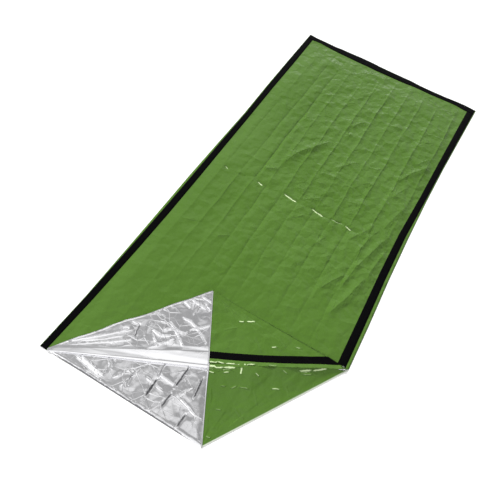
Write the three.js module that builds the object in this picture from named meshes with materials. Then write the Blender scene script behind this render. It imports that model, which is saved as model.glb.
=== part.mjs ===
// Emergency sleeping bag lying flat, with its right mouth corner folded back over itself.
// Two sheets of metallised film are joined along both sides and the foot by black tapes.
// Millimetres, +Z up, +Y toward the closed foot end. The floor is z = 0, and the origin is
// on the floor under the middle of the bag.
// Every sheet is first laid out flat, as u across and v along, and then folded.
import * as THREE from "three";

// Sheet sizes
const HALF_WIDTH = 450;
const HALF_LENGTH = 1000;
const FILM = 1.0;
const TAPE = 1.0;
const AIR = 0.3;
const TAPE_LIFT = FILM / 2 + AIR + TAPE / 2;

// Heights of the middle of the film
const BACK_Z = FILM / 2;
const SEAM_Z = FILM + AIR + FILM / 2;
const LOFT = 6.4;
const LOFT_AT_FOLD = 4.5;
const LOFT_START = 28;
const LOFT_RUN = 62;
const FOLD_RUN = 60;

// Corner points of the folds, seen from above
const FOLD_START = [-420, -1000];
const FOLD_END = [450, -528];
const FLAP_TIP = [-89, -531];
const SEAM_TIP = [39, -766];
const BACK_CORNER = [450, -531];
const BACK_TIP = [161, -1000];

// The long edges: how far each is drawn in, and where the two edges of its tape lie in from it
const SIDES = [
  { v: 1000, left: 0, leftOuter: 1.5, leftInner: 29, right: 0, rightOuter: 3, rightInner: 35 },
  { v: 760, left: 1, leftOuter: 2, leftInner: 32, right: 8, rightOuter: 3, rightInner: 33 },
  { v: 540, left: 3, leftOuter: 3.5, leftInner: 31, right: 15, rightOuter: 3, rightInner: 31 },
  { v: 320, left: 8, leftOuter: 4, leftInner: 30, right: 18, rightOuter: 5, rightInner: 32 },
  { v: 100, left: 6, leftOuter: 6, leftInner: 34, right: 17, rightOuter: 12, rightInner: 41 },
  { v: -120, left: 5, leftOuter: 9, leftInner: 38, right: 13, rightOuter: 13, rightInner: 43 },
  { v: -340, left: 7, leftOuter: 8, leftInner: 37, right: 5, rightOuter: 13, rightInner: 44 },
  { v: -520, left: 8, leftOuter: 6, leftInner: 34, right: 1, rightOuter: 12, rightInner: 43 },
  { v: -780, left: 8, leftOuter: 2, leftInner: 28, right: 0, rightOuter: 12, rightInner: 41 },
  { v: -1000, left: 1, leftOuter: 1.5, leftInner: 25, right: 0, rightOuter: 10, rightInner: 38 },
];
const FOOT_TAPE_INSET = 1.5;
const FOOT_TAPE_WIDTH = 34;

// The packing creases that run the length of the bag
const CREASES = [
  { u: -357, rise: 0.9 },
  { u: -273, rise: -0.6 },
  { u: -223, rise: 1.1 },
  { u: -160, rise: -0.7 },
  { u: -87, rise: 1.2 },
  { u: -13, rise: -0.5 },
  { u: 60, rise: 1.3 },
  { u: 137, rise: -0.7 },
  { u: 213, rise: 1.0 },
  { u: 290, rise: -0.6 },
  { u: 334, rise: 0.3 },
  { u: 377, rise: 0.9 },
];
const CROSS_CREASE_V = 8;
const CROSS_CREASE_RISE = 1.1;

// The loose roll where the front panel turns back over itself, from the mouth edge to the right
// side: how far it stands out past the fold line, its radius, and where it comes down behind
const ROLL = [
  { along: 0.0, reach: 2.4, radius: 2.2, land: 7 },
  { along: 0.12, reach: 8, radius: 3.4, land: 14 },
  { along: 0.26, reach: 15, radius: 4.8, land: 20 },
  { along: 0.53, reach: 30, radius: 6.5, land: 30 },
  { along: 0.76, reach: 20, radius: 5.5, land: 26 },
  { along: 0.92, reach: 7, radius: 3.4, land: 14 },
  { along: 1.0, reach: 2.4, radius: 2.2, land: 7 },
];
const ROLL_ANGLES = [-90, -60, -30, 0, 30, 60, 90];
const ROLL_BACK = [0.25, 0.5, 0.75, 1.0];

// Air between the folded layers, middle to middle
const FLAP_GAP = 2.6;
const FLAP_GAP_ON_TAPE = 4.4;
const CORNER_RADIUS = 1.4;
const COVER_GAP = 5.2;
const UNDER_COVER_GAP = 2.8;
const BACK_RADIUS = 1.2;
const CORNER_ANGLES = [-90, -45, 0, 45, 90];
const SEAM_BOW = 7;
const SEAM_START = 0.035;
const UNDER_SEAM = 12;
const UNDER_FROM = 0.35;
const SHORT_AT_START = 6;

// Rows across the sheets, as lengths v from the middle and as shares of the way down each layer
const UPPER_ROWS = [
  1000, 998.5, 964.5, 964.1, 925, 870, 800, 730, 660, 585, 510, 435, 360, 285, 210, 140, 70, 8, -60,
];
const LOWER_SHARES = [0.14, 0.28, 0.42, 0.56, 0.7, 0.82, 0.92, 1.0];
const FLAP_SHARES = [0.25, 0.5, 0.75, 1.0];
const COVER_SHARES = [0.05, 0.09, 0.13, 0.17, 0.21, 0.26, 0.33, 0.42, 0.54, 0.68, 0.84, 1.0];
const BACK_COLUMNS = [161, 200, 240, 280, 320, 355, 385, 405, 418, 428, 436, 443, 450];

// Small helpers
const clamp01 = (a) => Math.min(1, Math.max(0, a));
const mix = (a, b, share) => a + (b - a) * share;
const smooth = (a) => clamp01(a) ** 2 * (3 - 2 * clamp01(a));
const mixPoints = (p, q, share) => [mix(p[0], q[0], share), mix(p[1], q[1], share)];
const radians = (degrees) => (degrees * Math.PI) / 180;

// Reads one column of a table at any place between its rows
function readTable(table, key, place, column) {
  const down = table[0][key] > table[1][key];
  const rows = down ? [...table].reverse() : table;
  const last = rows.length - 1;
  if (place <= rows[0][key]) return rows[0][column];
  if (place >= rows[last][key]) return rows[last][column];
  const above = rows.findIndex((row) => row[key] >= place);
  const [low, high] = [rows[above - 1], rows[above]];
  return mix(low[column], high[column], (place - low[key]) / (high[key] - low[key]));
}

const sideAt = (v, column) => readTable(SIDES, "v", v, column);
const rollAt = (along, column) => readTable(ROLL, "along", clamp01(along), column);

// The fold line of the front panel, with one axis along it and one across it toward the foot
const foldSpan = [FOLD_END[0] - FOLD_START[0], FOLD_END[1] - FOLD_START[1]];
const foldLength = Math.hypot(...foldSpan);
const foldAlong = [foldSpan[0] / foldLength, foldSpan[1] / foldLength];
const foldAcross = [-foldAlong[1], foldAlong[0]];

function toFold([x, y]) {
  const [dx, dy] = [x - FOLD_START[0], y - FOLD_START[1]];
  return {
    along: (dx * foldAlong[0] + dy * foldAlong[1]) / foldLength,
    across: dx * foldAcross[0] + dy * foldAcross[1],
  };
}

// Signed distance from a line p to q, positive on its left
function fromLine([x, y], p, q) {
  const [dx, dy] = [q[0] - p[0], q[1] - p[1]];
  return (dx * (y - p[1]) - dy * (x - p[0])) / Math.hypot(dx, dy);
}

// Where a point of the unfolded sheet lies on the floor
function flatPlace(u, v) {
  const share = (u + HALF_WIDTH) / (2 * HALF_WIDTH);
  return [u + mix(sideAt(v, "left"), -sideAt(v, "right"), share), v];
}

// Share of the full loft, nothing under the tapes and all of it inside them
function loftShare(x, y) {
  const left = x + HALF_WIDTH - sideAt(y, "left");
  const right = HALF_WIDTH - sideAt(y, "right") - x;
  const inside = Math.min(left, right, HALF_LENGTH - y);
  return smooth((inside - LOFT_START) / LOFT_RUN);
}

// Height of the front panel's film where it isn't folded, without its creases
function upperHeight(x, y) {
  const nearFold = 1 - smooth(toFold([x, y]).across / FOLD_RUN);
  return SEAM_Z + loftShare(x, y) * mix(LOFT, LOFT_AT_FOLD, nearFold);
}

// How much of a crease shows, fading out where the folded corner covers it
function creaseShare([x, y]) {
  const pastFlap = Math.max(
    fromLine([x, y], FOLD_START, FLAP_TIP),
    fromLine([x, y], FLAP_TIP, FOLD_END),
  );
  return loftShare(x, y) * smooth((pastFlap - 5) / 45);
}

// Height of the flap's upper side over the roll and behind it
function flapHeight(x, y) {
  const { along, across } = toFold([x, y]);
  const radius = rollAt(along, "radius");
  const crest = radius - rollAt(along, "reach");
  const land = rollAt(along, "land");
  const onTape = smooth((x - 360) / 30);
  const gap = mix(FLAP_GAP, FLAP_GAP_ON_TAPE, onTape);
  const share = clamp01((across - crest) / (land - crest));
  return upperHeight(x, y) + mix(2 * radius, gap, share) + flapLift([x, y]);
}

// The flap's free edge stands a little off the panel, most at its tip
function flapLift([x, y]) {
  const fromTip = Math.hypot(x - FLAP_TIP[0], y - FLAP_TIP[1]);
  const fromEdge = Math.abs(fromLine([x, y], FOLD_START, FLAP_TIP));
  const way = clamp01((y - FOLD_START[1]) / (FLAP_TIP[1] - FOLD_START[1]));
  const ripple = Math.sin(way * Math.PI) * (1.6 + 1.1 * Math.sin(way * 17));
  const behind = smooth((toFold([x, y]).across - 12) / 40);
  return 5 * (1 - smooth(fromTip / 120)) + behind * ripple * (1 - smooth(fromEdge / 45));
}

// Height of the doubled corner over the flap, with room for the back panel's edge at the seam
function coverHeight(x, y) {
  const { across } = toFold([x, y]);
  const gap = mix(COVER_GAP, 2 * CORNER_RADIUS, smooth((across - 14) / 50));
  return flapHeight(x, y) + gap;
}

// Height of the back panel's turned corner, from the seam over the roll down to its own fold
function backCoverHeight(x, y) {
  const { along, across } = toFold([x, y]);
  const radius = rollAt(along, "radius");
  const crest = radius - rollAt(along, "reach");
  const top = flapHeight(x, y) + UNDER_COVER_GAP;
  if (across >= crest) return top;
  const toFoldLine = Math.abs(fromLine([x, y], BACK_CORNER, BACK_TIP));
  const down = (crest - across) / (crest - across + toFoldLine);
  const foot = BACK_Z + 2 * BACK_RADIUS;
  return foot + (top - foot) * (1 - down) ** 1.6;
}

// Columns of the front panel: each gives u at any v
const FRONT_COLUMNS = [
  { name: "left edge", at: () => -HALF_WIDTH },
  { name: "left tape outer", at: (v) => -HALF_WIDTH + sideAt(v, "leftOuter") },
  { name: "left tape inner", at: (v) => -HALF_WIDTH + sideAt(v, "leftInner") },
  { name: "fold start", at: (v) => mix(-390, FOLD_START[0], smooth((-600 - v) / 330)) },
];
CREASES.forEach(({ u, rise }, i) => {
  const shift = (v) => 5 * Math.sin(v / 260 + i * 1.7);
  FRONT_COLUMNS.push({ name: `crease ${i + 1}`, at: (v) => u + shift(v) * (v > -400), rise });
  if (i + 1 < CREASES.length) {
    const next = CREASES[i + 1].u;
    const tip = u < BACK_TIP[0] && next > BACK_TIP[0];
    const between = tip ? BACK_TIP[0] : (u + next) / 2;
    FRONT_COLUMNS.push({ name: tip ? "tip" : `between ${i + 1}`, at: () => between });
  }
});
FRONT_COLUMNS.push(
  { name: "right tape inner", at: (v) => HALF_WIDTH - sideAt(v, "rightInner") },
  { name: "right tape middle", at: (v) => HALF_WIDTH - rightTapeMiddle(v) },
  { name: "right tape outer", at: (v) => HALF_WIDTH - sideAt(v, "rightOuter") },
  { name: "right edge", at: () => HALF_WIDTH },
);
const rightTapeMiddle = (v) => (sideAt(v, "rightInner") + sideAt(v, "rightOuter")) / 2;
const columnNamed = (name) => FRONT_COLUMNS.findIndex((column) => column.name === name);
const START_COLUMN = columnNamed("fold start");
const TIP_COLUMN = columnNamed("tip");
const RELIEF_COLUMN = columnNamed("right tape outer");
const EDGE_COLUMN = columnNamed("right edge");

// v where the front panel's fold line crosses a column
function foldV(column) {
  let v = FOLD_START[1];
  for (let turn = 0; turn < 6; turn += 1) {
    const [x, y] = flatPlace(column.at(v), v);
    v -= (y - FOLD_START[1]) - ((x - FOLD_START[0]) * foldSpan[1]) / foldSpan[0];
    v = Math.max(v, -HALF_LENGTH);
  }
  return v;
}

// One column of the front panel as a list of points, from the foot to the mouth edge.
// The kind of each row is kept, so that columns can be joined layer by layer.
function frontColumn(column, index) {
  const points = { upper: [], roll: [], flap: [], turn: [], cover: [] };
  const end = index <= START_COLUMN ? -HALF_LENGTH : foldV(column);
  const last = UPPER_ROWS[UPPER_ROWS.length - 1];
  const rows = [...UPPER_ROWS, ...LOWER_SHARES.map((share) => mix(last, end, share))];
  for (const v of rows) {
    const [x, y] = flatPlace(column.at(v), v);
    const share = creaseShare([x, y]);
    const crossing = Math.abs(v - CROSS_CREASE_V) < 1 ? CROSS_CREASE_RISE : 0;
    points.upper.push([x, y, upperHeight(x, y) + share * ((column.rise ?? 0) + crossing)]);
  }
  const base = points.upper[points.upper.length - 1];
  if (index >= START_COLUMN && index <= RELIEF_COLUMN) foldColumn(column, index, base, points);
  if (index >= TIP_COLUMN) coverColumn(column, index, points);
  return points;
}

// Takes a column round the roll and up the flap
function foldColumn(column, index, base, points) {
  const { along } = toFold(base);
  const reach = rollAt(along, "reach");
  const radius = rollAt(along, "radius");
  const land = rollAt(along, "land");
  const place = (across) => [base[0] + foldAcross[0] * across, base[1] + foldAcross[1] * across];
  for (const angle of ROLL_ANGLES) {
    const across = radius - reach - radius * Math.cos(radians(angle));
    points.roll.push([...place(across), base[2] + radius * (1 + Math.sin(radians(angle)))]);
  }
  for (const share of ROLL_BACK) {
    const [x, y] = place(mix(radius - reach, land, share));
    points.roll.push([x, y, flapHeight(x, y)]);
  }
  const landing = place(land);
  const edge = flapEdge(column, index, landing);
  for (const share of FLAP_SHARES) {
    const [x, y] = mixPoints(landing, edge, share);
    points.flap.push([x, y, flapHeight(x, y)]);
  }
}

// Where a column of the flap ends: on the mouth edge, or at the second fold
function flapEdge(column, index, landing) {
  if (index === START_COLUMN) return landing;
  if (index < TIP_COLUMN) {
    const start = startLanding();
    const share = (column.at(-HALF_LENGTH) - FOLD_START[0]) / (BACK_TIP[0] - FOLD_START[0]);
    const wave = 2.2 * Math.sin(share * 19) * Math.sin(share * Math.PI);
    const [x, y] = mixPoints(start, FLAP_TIP, share);
    return [x - 0.8 * wave, y + 0.6 * wave];
  }
  const [x, y] = mixPoints(FOLD_END, FLAP_TIP, turnShare(column));
  return [x, y - CORNER_RADIUS];
}

function startLanding() {
  const land = rollAt(0, "land");
  const [x, y] = flatPlace(FOLD_START[0], FOLD_START[1]);
  return [x + foldAcross[0] * land, y + foldAcross[1] * land];
}

// Share of the second fold line, from the right side to the flap's tip, at a column
function turnShare(column) {
  const u = column.at(-700);
  return clamp01((HALF_WIDTH - u) / (HALF_WIDTH - BACK_TIP[0]));
}

// Takes a column round the second fold and over the doubled corner to the mouth edge
function coverColumn(column, index, points) {
  const share = turnShare(column);
  const atEdge = index === EDGE_COLUMN;
  const [tx, ty] = mixPoints(FOLD_END, FLAP_TIP, share);
  let start = [tx, ty - CORNER_RADIUS];
  if (!atEdge) {
    const low = flapHeight(...start);
    for (const angle of CORNER_ANGLES.slice(1)) {
      const out = CORNER_RADIUS * Math.cos(radians(angle));
      const up = CORNER_RADIUS * (1 + Math.sin(radians(angle)));
      points.turn.push([start[0], start[1] + out, low + up]);
    }
  } else {
    start = mixPoints(FOLD_END, SEAM_TIP, SEAM_START);
  }
  const mouth = mixPoints(SEAM_TIP, FLAP_TIP, share);
  for (const part of atEdge ? [0, ...COVER_SHARES] : COVER_SHARES) {
    const [px, py] = mixPoints(start, mouth, part);
    const bow = SEAM_BOW * Math.sin(Math.PI * part) * (1 - share);
    const [x, y] = [px - foldAcross[0] * bow, py - foldAcross[1] * bow];
    points.cover.push([x, y, coverHeight(x, y)]);
  }
}

// A sheet of triangles that share points. Points at the same place are kept once.
class Sheet {
  constructor() {
    this.points = [];
    this.places = new Map();
    this.triangles = [];
  }

  point(p) {
    const key = p.map((a) => Math.round(a * 1000)).join(" ");
    if (!this.places.has(key)) {
      this.places.set(key, this.points.length);
      this.points.push(new THREE.Vector3(...p));
    }
    return this.places.get(key);
  }

  triangle(a, b, c) {
    if (a !== b && b !== c && c !== a) this.triangles.push([a, b, c]);
  }

  // Joins two neighbouring lines of points that are equally long
  strip(left, right) {
    for (let i = 0; i + 1 < left.length; i += 1) {
      const [a, b] = [this.point(left[i]), this.point(left[i + 1])];
      const [c, d] = [this.point(right[i]), this.point(right[i + 1])];
      this.triangle(a, b, d);
      this.triangle(a, d, c);
    }
  }

  normals() {
    const sums = this.points.map(() => new THREE.Vector3());
    for (const corners of this.triangles) {
      const [p, q, r] = corners.map((i) => this.points[i]);
      const face = q.clone().sub(p).cross(r.clone().sub(p));
      corners.forEach((i) => sums[i].add(face));
    }
    return sums.map((sum) => sum.normalize());
  }
}

// Gives triangles of a sheet a thickness: two offset faces, and walls along the open edges
function thicken(sheet, triangles, thickness, lift = 0, normals = sheet.normals()) {
  const used = [...new Set(triangles.flat())];
  const number = new Map(used.map((point, i) => [point, i]));
  const corners = [];
  for (const side of [0.5, -0.5]) {
    for (const point of used) {
      const place = sheet.points[point].clone();
      place.addScaledVector(normals[point], lift + side * thickness);
      corners.push(place.x, place.y, place.z);
    }
  }
  const faces = [];
  const edges = new Set(triangles.flatMap(([a, b, c]) => [`${a} ${b}`, `${b} ${c}`, `${c} ${a}`]));
  for (const triangle of triangles) {
    const [a, b, c] = triangle.map((point) => number.get(point));
    faces.push(a, b, c, a + used.length, c + used.length, b + used.length);
    for (const [p, q] of [[0, 1], [1, 2], [2, 0]]) {
      if (edges.has(`${triangle[q]} ${triangle[p]}`)) continue;
      const [m, n] = [number.get(triangle[p]), number.get(triangle[q])];
      faces.push(m, m + used.length, n + used.length, m, n + used.length, n);
    }
  }
  const geometry = new THREE.BufferGeometry();
  geometry.setAttribute("position", new THREE.Float32BufferAttribute(corners, 3));
  geometry.setIndex(faces);
  return geometry;
}

// Front panel, with the tapes that follow parts of it
const columns = FRONT_COLUMNS.map((column, i) => frontColumn(column, i));
const front = new Sheet();
const leftRun = [];
const footRun = [];
const rightRun = [];

// Adds a strip and notes its triangles for the tapes that cover it
function addStrip(left, right, ...runs) {
  const before = front.triangles.length;
  front.strip(left, right);
  runs.forEach((run) => run.push(...front.triangles.slice(before)));
}

const FOOT_TAPE_ROWS = [1, 2];
const SIDE_TAPE_ROW = 3;
for (let i = 0; i + 1 < columns.length; i += 1) {
  const [a, b] = [columns[i], columns[i + 1]];
  const name = FRONT_COLUMNS[i].name;
  const onLeftTape = name === "left tape outer";
  const onRightTape = name === "right tape inner" || name === "right tape middle";
  const inner = i > 0 && i + 2 < columns.length;
  addStrip(a.upper.slice(0, 2), b.upper.slice(0, 2));
  const foot = (points) => points.upper.slice(FOOT_TAPE_ROWS[0], FOOT_TAPE_ROWS[1] + 1);
  addStrip(foot(a), foot(b), ...(inner ? [footRun] : []));
  addStrip(a.upper.slice(FOOT_TAPE_ROWS[1], SIDE_TAPE_ROW + 1), b.upper.slice(FOOT_TAPE_ROWS[1], SIDE_TAPE_ROW + 1));
  const rest = (points) => points.upper.slice(SIDE_TAPE_ROW);
  addStrip(rest(a), rest(b), ...(onLeftTape ? [leftRun] : []), ...(onRightTape ? [rightRun] : []));
  if (i >= START_COLUMN && i < RELIEF_COLUMN) {
    const run = onRightTape ? [rightRun] : [];
    const round = (points) => [points.upper[points.upper.length - 1], ...points.roll, ...points.flap];
    addStrip(round(a), round(b), ...run);
    if (i >= TIP_COLUMN) {
      const over = (points) => [points.flap[points.flap.length - 1], ...points.turn, ...points.cover];
      addStrip(over(a), over(b), ...run);
    }
  }
  if (i === RELIEF_COLUMN) {
    addStrip([a.turn[a.turn.length - 1], ...a.cover], b.cover);
  }
}
const frontNormals = front.normals();

// Back panel: a flat sheet on the floor with one corner turned over along its fold
const back = new Sheet();
const backFold = BACK_COLUMNS.map((u) => backColumn(u));

// One column of the turned corner, from its fold to the mouth edge
function backColumn(u) {
  const share = (HALF_WIDTH - u) / (HALF_WIDTH - BACK_TIP[0]);
  const [fx, fy] = mixPoints(BACK_CORNER, BACK_TIP, share);
  const [dx, dy] = [BACK_TIP[0] - BACK_CORNER[0], BACK_TIP[1] - BACK_CORNER[1]];
  const inward = [dy / Math.hypot(dx, dy), -dx / Math.hypot(dx, dy)];
  const start = [fx + inward[0] * BACK_RADIUS, fy + inward[1] * BACK_RADIUS];
  const points = [];
  for (const angle of CORNER_ANGLES) {
    const out = BACK_RADIUS * Math.cos(radians(angle));
    const up = BACK_RADIUS * (1 + Math.sin(radians(angle)));
    points.push([start[0] - inward[0] * out, start[1] - inward[1] * out, BACK_Z + up]);
  }
  const mouth = mixPoints(SEAM_TIP, BACK_TIP, share);
  for (const part of COVER_SHARES) {
    const [px, py] = mixPoints(start, mouth, part);
    const under = smooth(part / UNDER_FROM);
    const short = SHORT_AT_START * smooth(part / SEAM_START) * (1 - under);
    const shift = (UNDER_SEAM * under - short - SEAM_BOW * Math.sin(Math.PI * part)) * (1 - share);
    const [x, y] = [px + foldAcross[0] * shift, py + foldAcross[1] * shift];
    points.push([x, y, backCoverHeight(x, y)]);
  }
  return points;
}

for (let i = 0; i + 1 < backFold.length; i += 1) back.strip(backFold[i], backFold[i + 1]);

// Outline of the flat part, counter-clockwise from the foot
const outline = [];
for (const { v } of SIDES) outline.push(flatPlace(-HALF_WIDTH, v));
outline.push(...backFold.map((points) => points[0].slice(0, 2)));
for (const { v } of [...SIDES].reverse()) {
  if (v > FOLD_END[1]) outline.push(flatPlace(HALF_WIDTH, v));
}
const corners2d = outline.map(([x, y]) => new THREE.Vector2(x, y));
const flatPoints = outline.map(([x, y]) => back.point([x, y, BACK_Z]));
for (const [a, b, c] of THREE.ShapeUtils.triangulateShape(corners2d, [])) {
  back.triangle(flatPoints[a], flatPoints[b], flatPoints[c]);
}

// Straight up for the flat part, so that its underside stays level
const backNormals = back.normals();
flatPoints.forEach((point) => backNormals[point].set(0, 0, 1));

// Materials and the finished group
const film = { color: 0x5b8238, roughness: 0.38, metalness: 0.1, side: THREE.DoubleSide };
const tape = { color: 0x121113, roughness: 0.55, metalness: 0.0 };

const group = new THREE.Group();
group.name = "emergency_sleeping_bag";

function add(name, geometry, look) {
  const mesh = new THREE.Mesh(geometry, new THREE.MeshStandardMaterial(look));
  geometry.computeVertexNormals();
  mesh.name = name;
  group.add(mesh);
}

add("back_panel", thicken(back, back.triangles, FILM, 0, backNormals), film);
add("front_panel", thicken(front, front.triangles, FILM, 0, frontNormals), film);
add("left_tape", thicken(front, leftRun, TAPE, TAPE_LIFT, frontNormals), tape);
add("foot_tape", thicken(front, footRun, TAPE, TAPE_LIFT, frontNormals), tape);
add("right_tape", thicken(front, rightRun, TAPE, TAPE_LIFT, frontNormals), tape);

export default group;
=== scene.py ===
# %% [markdown]
# # Emergency sleeping bag, lying flat with one mouth corner folded back
#
# The bag is two sheets of metallised film, green outside and bright aluminium inside, joined by
# black tape along both sides and the foot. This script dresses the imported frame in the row's own
# space: +Y runs to the closed foot end, +Z is up, and the floor is z = 0. Sizes are written in
# millimetres and turned into metres when a mesh is made.

import math

import bpy
import numpy as np
from mathutils import Matrix, Vector


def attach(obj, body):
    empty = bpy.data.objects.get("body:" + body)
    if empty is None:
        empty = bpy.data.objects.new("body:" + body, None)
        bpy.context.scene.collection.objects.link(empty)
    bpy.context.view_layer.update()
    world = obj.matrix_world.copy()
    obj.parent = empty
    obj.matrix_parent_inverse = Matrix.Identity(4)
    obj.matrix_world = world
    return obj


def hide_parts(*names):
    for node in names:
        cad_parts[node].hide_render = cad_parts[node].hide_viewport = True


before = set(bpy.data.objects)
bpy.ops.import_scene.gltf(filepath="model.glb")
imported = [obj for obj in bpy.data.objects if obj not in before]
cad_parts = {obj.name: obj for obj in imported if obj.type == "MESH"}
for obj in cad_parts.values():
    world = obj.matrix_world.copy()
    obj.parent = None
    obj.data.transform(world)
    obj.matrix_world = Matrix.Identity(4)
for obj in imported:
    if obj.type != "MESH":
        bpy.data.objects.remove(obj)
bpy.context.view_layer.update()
MM = 0.001
print("frame nodes:", sorted(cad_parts))

# %% [markdown]
# ## Camera
#
# The photograph looks down at the bag from beyond its mouth, from about 57 degrees above the
# floor, and leans 13 degrees to one side. The place, aim and lens below come from the lines of
# the taped edges, which run to two vanishing points.

# %% Camera
CAMERA_AT = (0.2999, -1.3827, 1.7398)
CAMERA_FORWARD = (-0.1755, 0.5202, -0.8358)
CAMERA_UP = (-0.4741, 0.6994, 0.5348)
CAMERA_LENS_MM = 40.04


def make_camera(place, forward, up, lens):
    """Puts the camera at place. Its three axes are right = forward x up, up = right x forward,
    and minus forward, as Blender's cameras look down their own -Z."""
    look = Vector(forward).normalized()
    right = look.cross(Vector(up)).normalized()
    top = right.cross(look)
    data = bpy.data.cameras.new("camera")
    data.lens, data.sensor_width, data.clip_start = lens, 36.0, 0.05
    camera = bpy.data.objects.new("camera", data)
    camera.matrix_world = Matrix.Translation(place) @ Matrix((right, top, -look)).transposed().to_4x4()
    bpy.context.scene.collection.objects.link(camera)
    bpy.context.scene.camera = camera
    return camera


camera = make_camera(CAMERA_AT, CAMERA_FORWARD, CAMERA_UP, CAMERA_LENS_MM)
print("camera", round(CAMERA_AT[2], 2), "m over the floor, lens", CAMERA_LENS_MM, "mm")

# %% [markdown]
# ## Sizes of the bag and of its folds
#
# The tables hold what the photograph shows of the long edges and of the loose roll. The edges are
# drawn in by up to 18 mm where the film is slack, so the tapes wander. One fold line runs from the
# mouth edge to the right side: there the front panel turns back over itself in a roll that is
# fattest in the middle. The corner is then doubled back along a second, tighter fold.

# %% Sizes
HALF_WIDTH, HALF_LENGTH = 450.0, 1000.0
FOLD_START, FOLD_END = np.array([-420.0, -1000.0]), np.array([450.0, -528.0])
FLAP_TIP, SEAM_TIP = np.array([-89.0, -531.0]), np.array([39.0, -766.0])
BACK_CORNER, BACK_TIP = np.array([450.0, -531.0]), np.array([161.0, -1000.0])

# v, left edge in, left tape outer, left tape inner, right edge in, right tape outer, right inner
SIDES = np.array([
    (-1000, 1, 1.5, 25, 0, 16, 44),
    (-780, 8, 2, 28, 0, 13, 42),
    (-520, 8, 6, 34, 1, 12, 43),
    (-340, 7, 8, 37, 5, 13, 44),
    (-120, 5, 9, 38, 13, 13, 43),
    (100, 6, 6, 34, 17, 12, 41),
    (320, 8, 4, 30, 18, 5, 32),
    (540, 3, 3.5, 31, 15, 3, 31),
    (760, 1, 2, 32, 8, 3, 33),
    (1000, 0, 1.5, 29, 0, 3, 35),
], float)
LEFT, LEFT_OUTER, LEFT_INNER, RIGHT, RIGHT_OUTER, RIGHT_INNER = range(1, 7)

# u, how far the foot edge stands out past 1000, and the foot tape's inner edge past 964.5
FOOT = np.array([
    (-450, 4, 4), (-410, 0, 6), (-375, 0, 9), (-340, 0, 4), (-305, -1.5, 1.5), (-270, 2, -0.5),
    (-200, 4, -2), (-165, 6, -3), (-95, 5.5, -2.5), (-60, 2.5, -4), (10, 2, -2.5), (80, 2.5, -0.5),
    (115, 3, 3), (150, -1, 6), (220, -2, 5), (290, 0.5, 8), (325, 3, 10), (360, 5.5, 10),
    (395, 6.5, 4), (450, 2, 3),
], float)

# share of the fold line, how far the roll stands out, its radius, where it comes down behind
ROLL = np.array([
    (0.00, 2.4, 1.8, 7),
    (0.12, 8, 3.4, 14),
    (0.26, 15, 4.8, 20),
    (0.53, 30, 6.8, 30),
    (0.76, 20, 5.5, 26),
    (0.92, 7, 3.4, 14),
    (1.00, 2.4, 1.8, 7),
], float)
REACH, RADIUS, LAND = 1, 2, 3

# heights of the back panel and of the seams, and how far the upper film rises inside them, in
# the middle and at the fold line
BACK_Z, SEAM_Z = 0.3, 1.4
LOFT, LOFT_AT_FOLD = 6.6, 4.4
# how far from the sides, the foot and the fold line that rise starts and how long it takes
LOFT_START, LOFT_RUN, FOOT_LOFT_START, FOOT_LOFT_RUN, FOLD_RUN = 28.0, 62.0, 34.0, 130.0, 60.0
# gaps under the flap and under both layers of the doubled corner, and the second fold's radius
FLAP_GAP, GAP_AT_TURN, COVER_GAP, UNDER_COVER_GAP, TURN_RADIUS = 3.6, 0.8, 3.2, 2.2, 0.8
# how far the doubled seam bows, how wide the curled mouth edge is, and the rows of the foot tape
SEAM_BOW, HEM, HEM_AT_TIP = 7.0, 3.0, 6.0
FOOT_TAPE_IN, FOOT_TAPE_OUT, FOOT_EASE = 964.5, 998.5, 104.5

fold_span = FOLD_END - FOLD_START
fold_length = float(np.hypot(*fold_span))
along_axis = fold_span / fold_length
across_axis = np.array([-along_axis[1], along_axis[0]])
print("fold line", round(fold_length), "mm; roll stands out up to", ROLL[:, REACH].max(), "mm")

# %% [markdown]
# ## Places on the sheet
#
# A point has two pairs of coordinates. (u, v) is its place on the unfolded sheet, and (x, y) the
# one on the floor, which differs by the drift of the edges. Distances to the fold lines decide
# what happens there, and every change is eased in by one soft step.

# %% Places on the sheet
def mix(a, b, share):
    """a + (b - a) share"""
    return a + (b - a) * share


def smooth(a):
    """The soft step 3a^2 - 2a^3, held at 0 and 1 outside"""
    a = np.clip(a, 0.0, 1.0)
    return a * a * (3.0 - 2.0 * a)


def side(v, column):
    """A column of SIDES, read between its rows"""
    return np.interp(v, SIDES[:, 0], SIDES[:, column])


def roll(share, column):
    """A column of ROLL, read between its rows"""
    return np.interp(share, ROLL[:, 0], ROLL[:, column])


def to_fold(x, y):
    """Share along the fold line, and distance across it toward the foot"""
    dx, dy = x - FOLD_START[0], y - FOLD_START[1]
    along = (dx * along_axis[0] + dy * along_axis[1]) / fold_length
    return along, dx * across_axis[0] + dy * across_axis[1]


def from_line(x, y, p, q):
    """Signed distance from the line p to q: the cross product with its unit direction"""
    dx, dy = q - p
    return (dx * (y - p[1]) - dy * (x - p[0])) / math.hypot(dx, dy)


def foot_drift(u, v):
    """How far row v stands toward +Y at u: both edges of the foot tape wander"""
    outer, inner = (np.interp(u, FOOT[:, 0], FOOT[:, column]) for column in (1, 2))
    across = np.clip((v - FOOT_TAPE_IN) / (FOOT_TAPE_OUT - FOOT_TAPE_IN), 0.0, 1.0)
    return mix(inner, outer, across) * smooth((v - FOOT_TAPE_IN) / FOOT_EASE + 1.0)


def flat_place(u, v):
    """The unfolded sheet's point (u, v) on the floor: x is u less the share of each edge's drift"""
    share = (u + HALF_WIDTH) / (2 * HALF_WIDTH)
    return u + mix(side(v, LEFT), -side(v, RIGHT), share), v + foot_drift(u, v)


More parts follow.
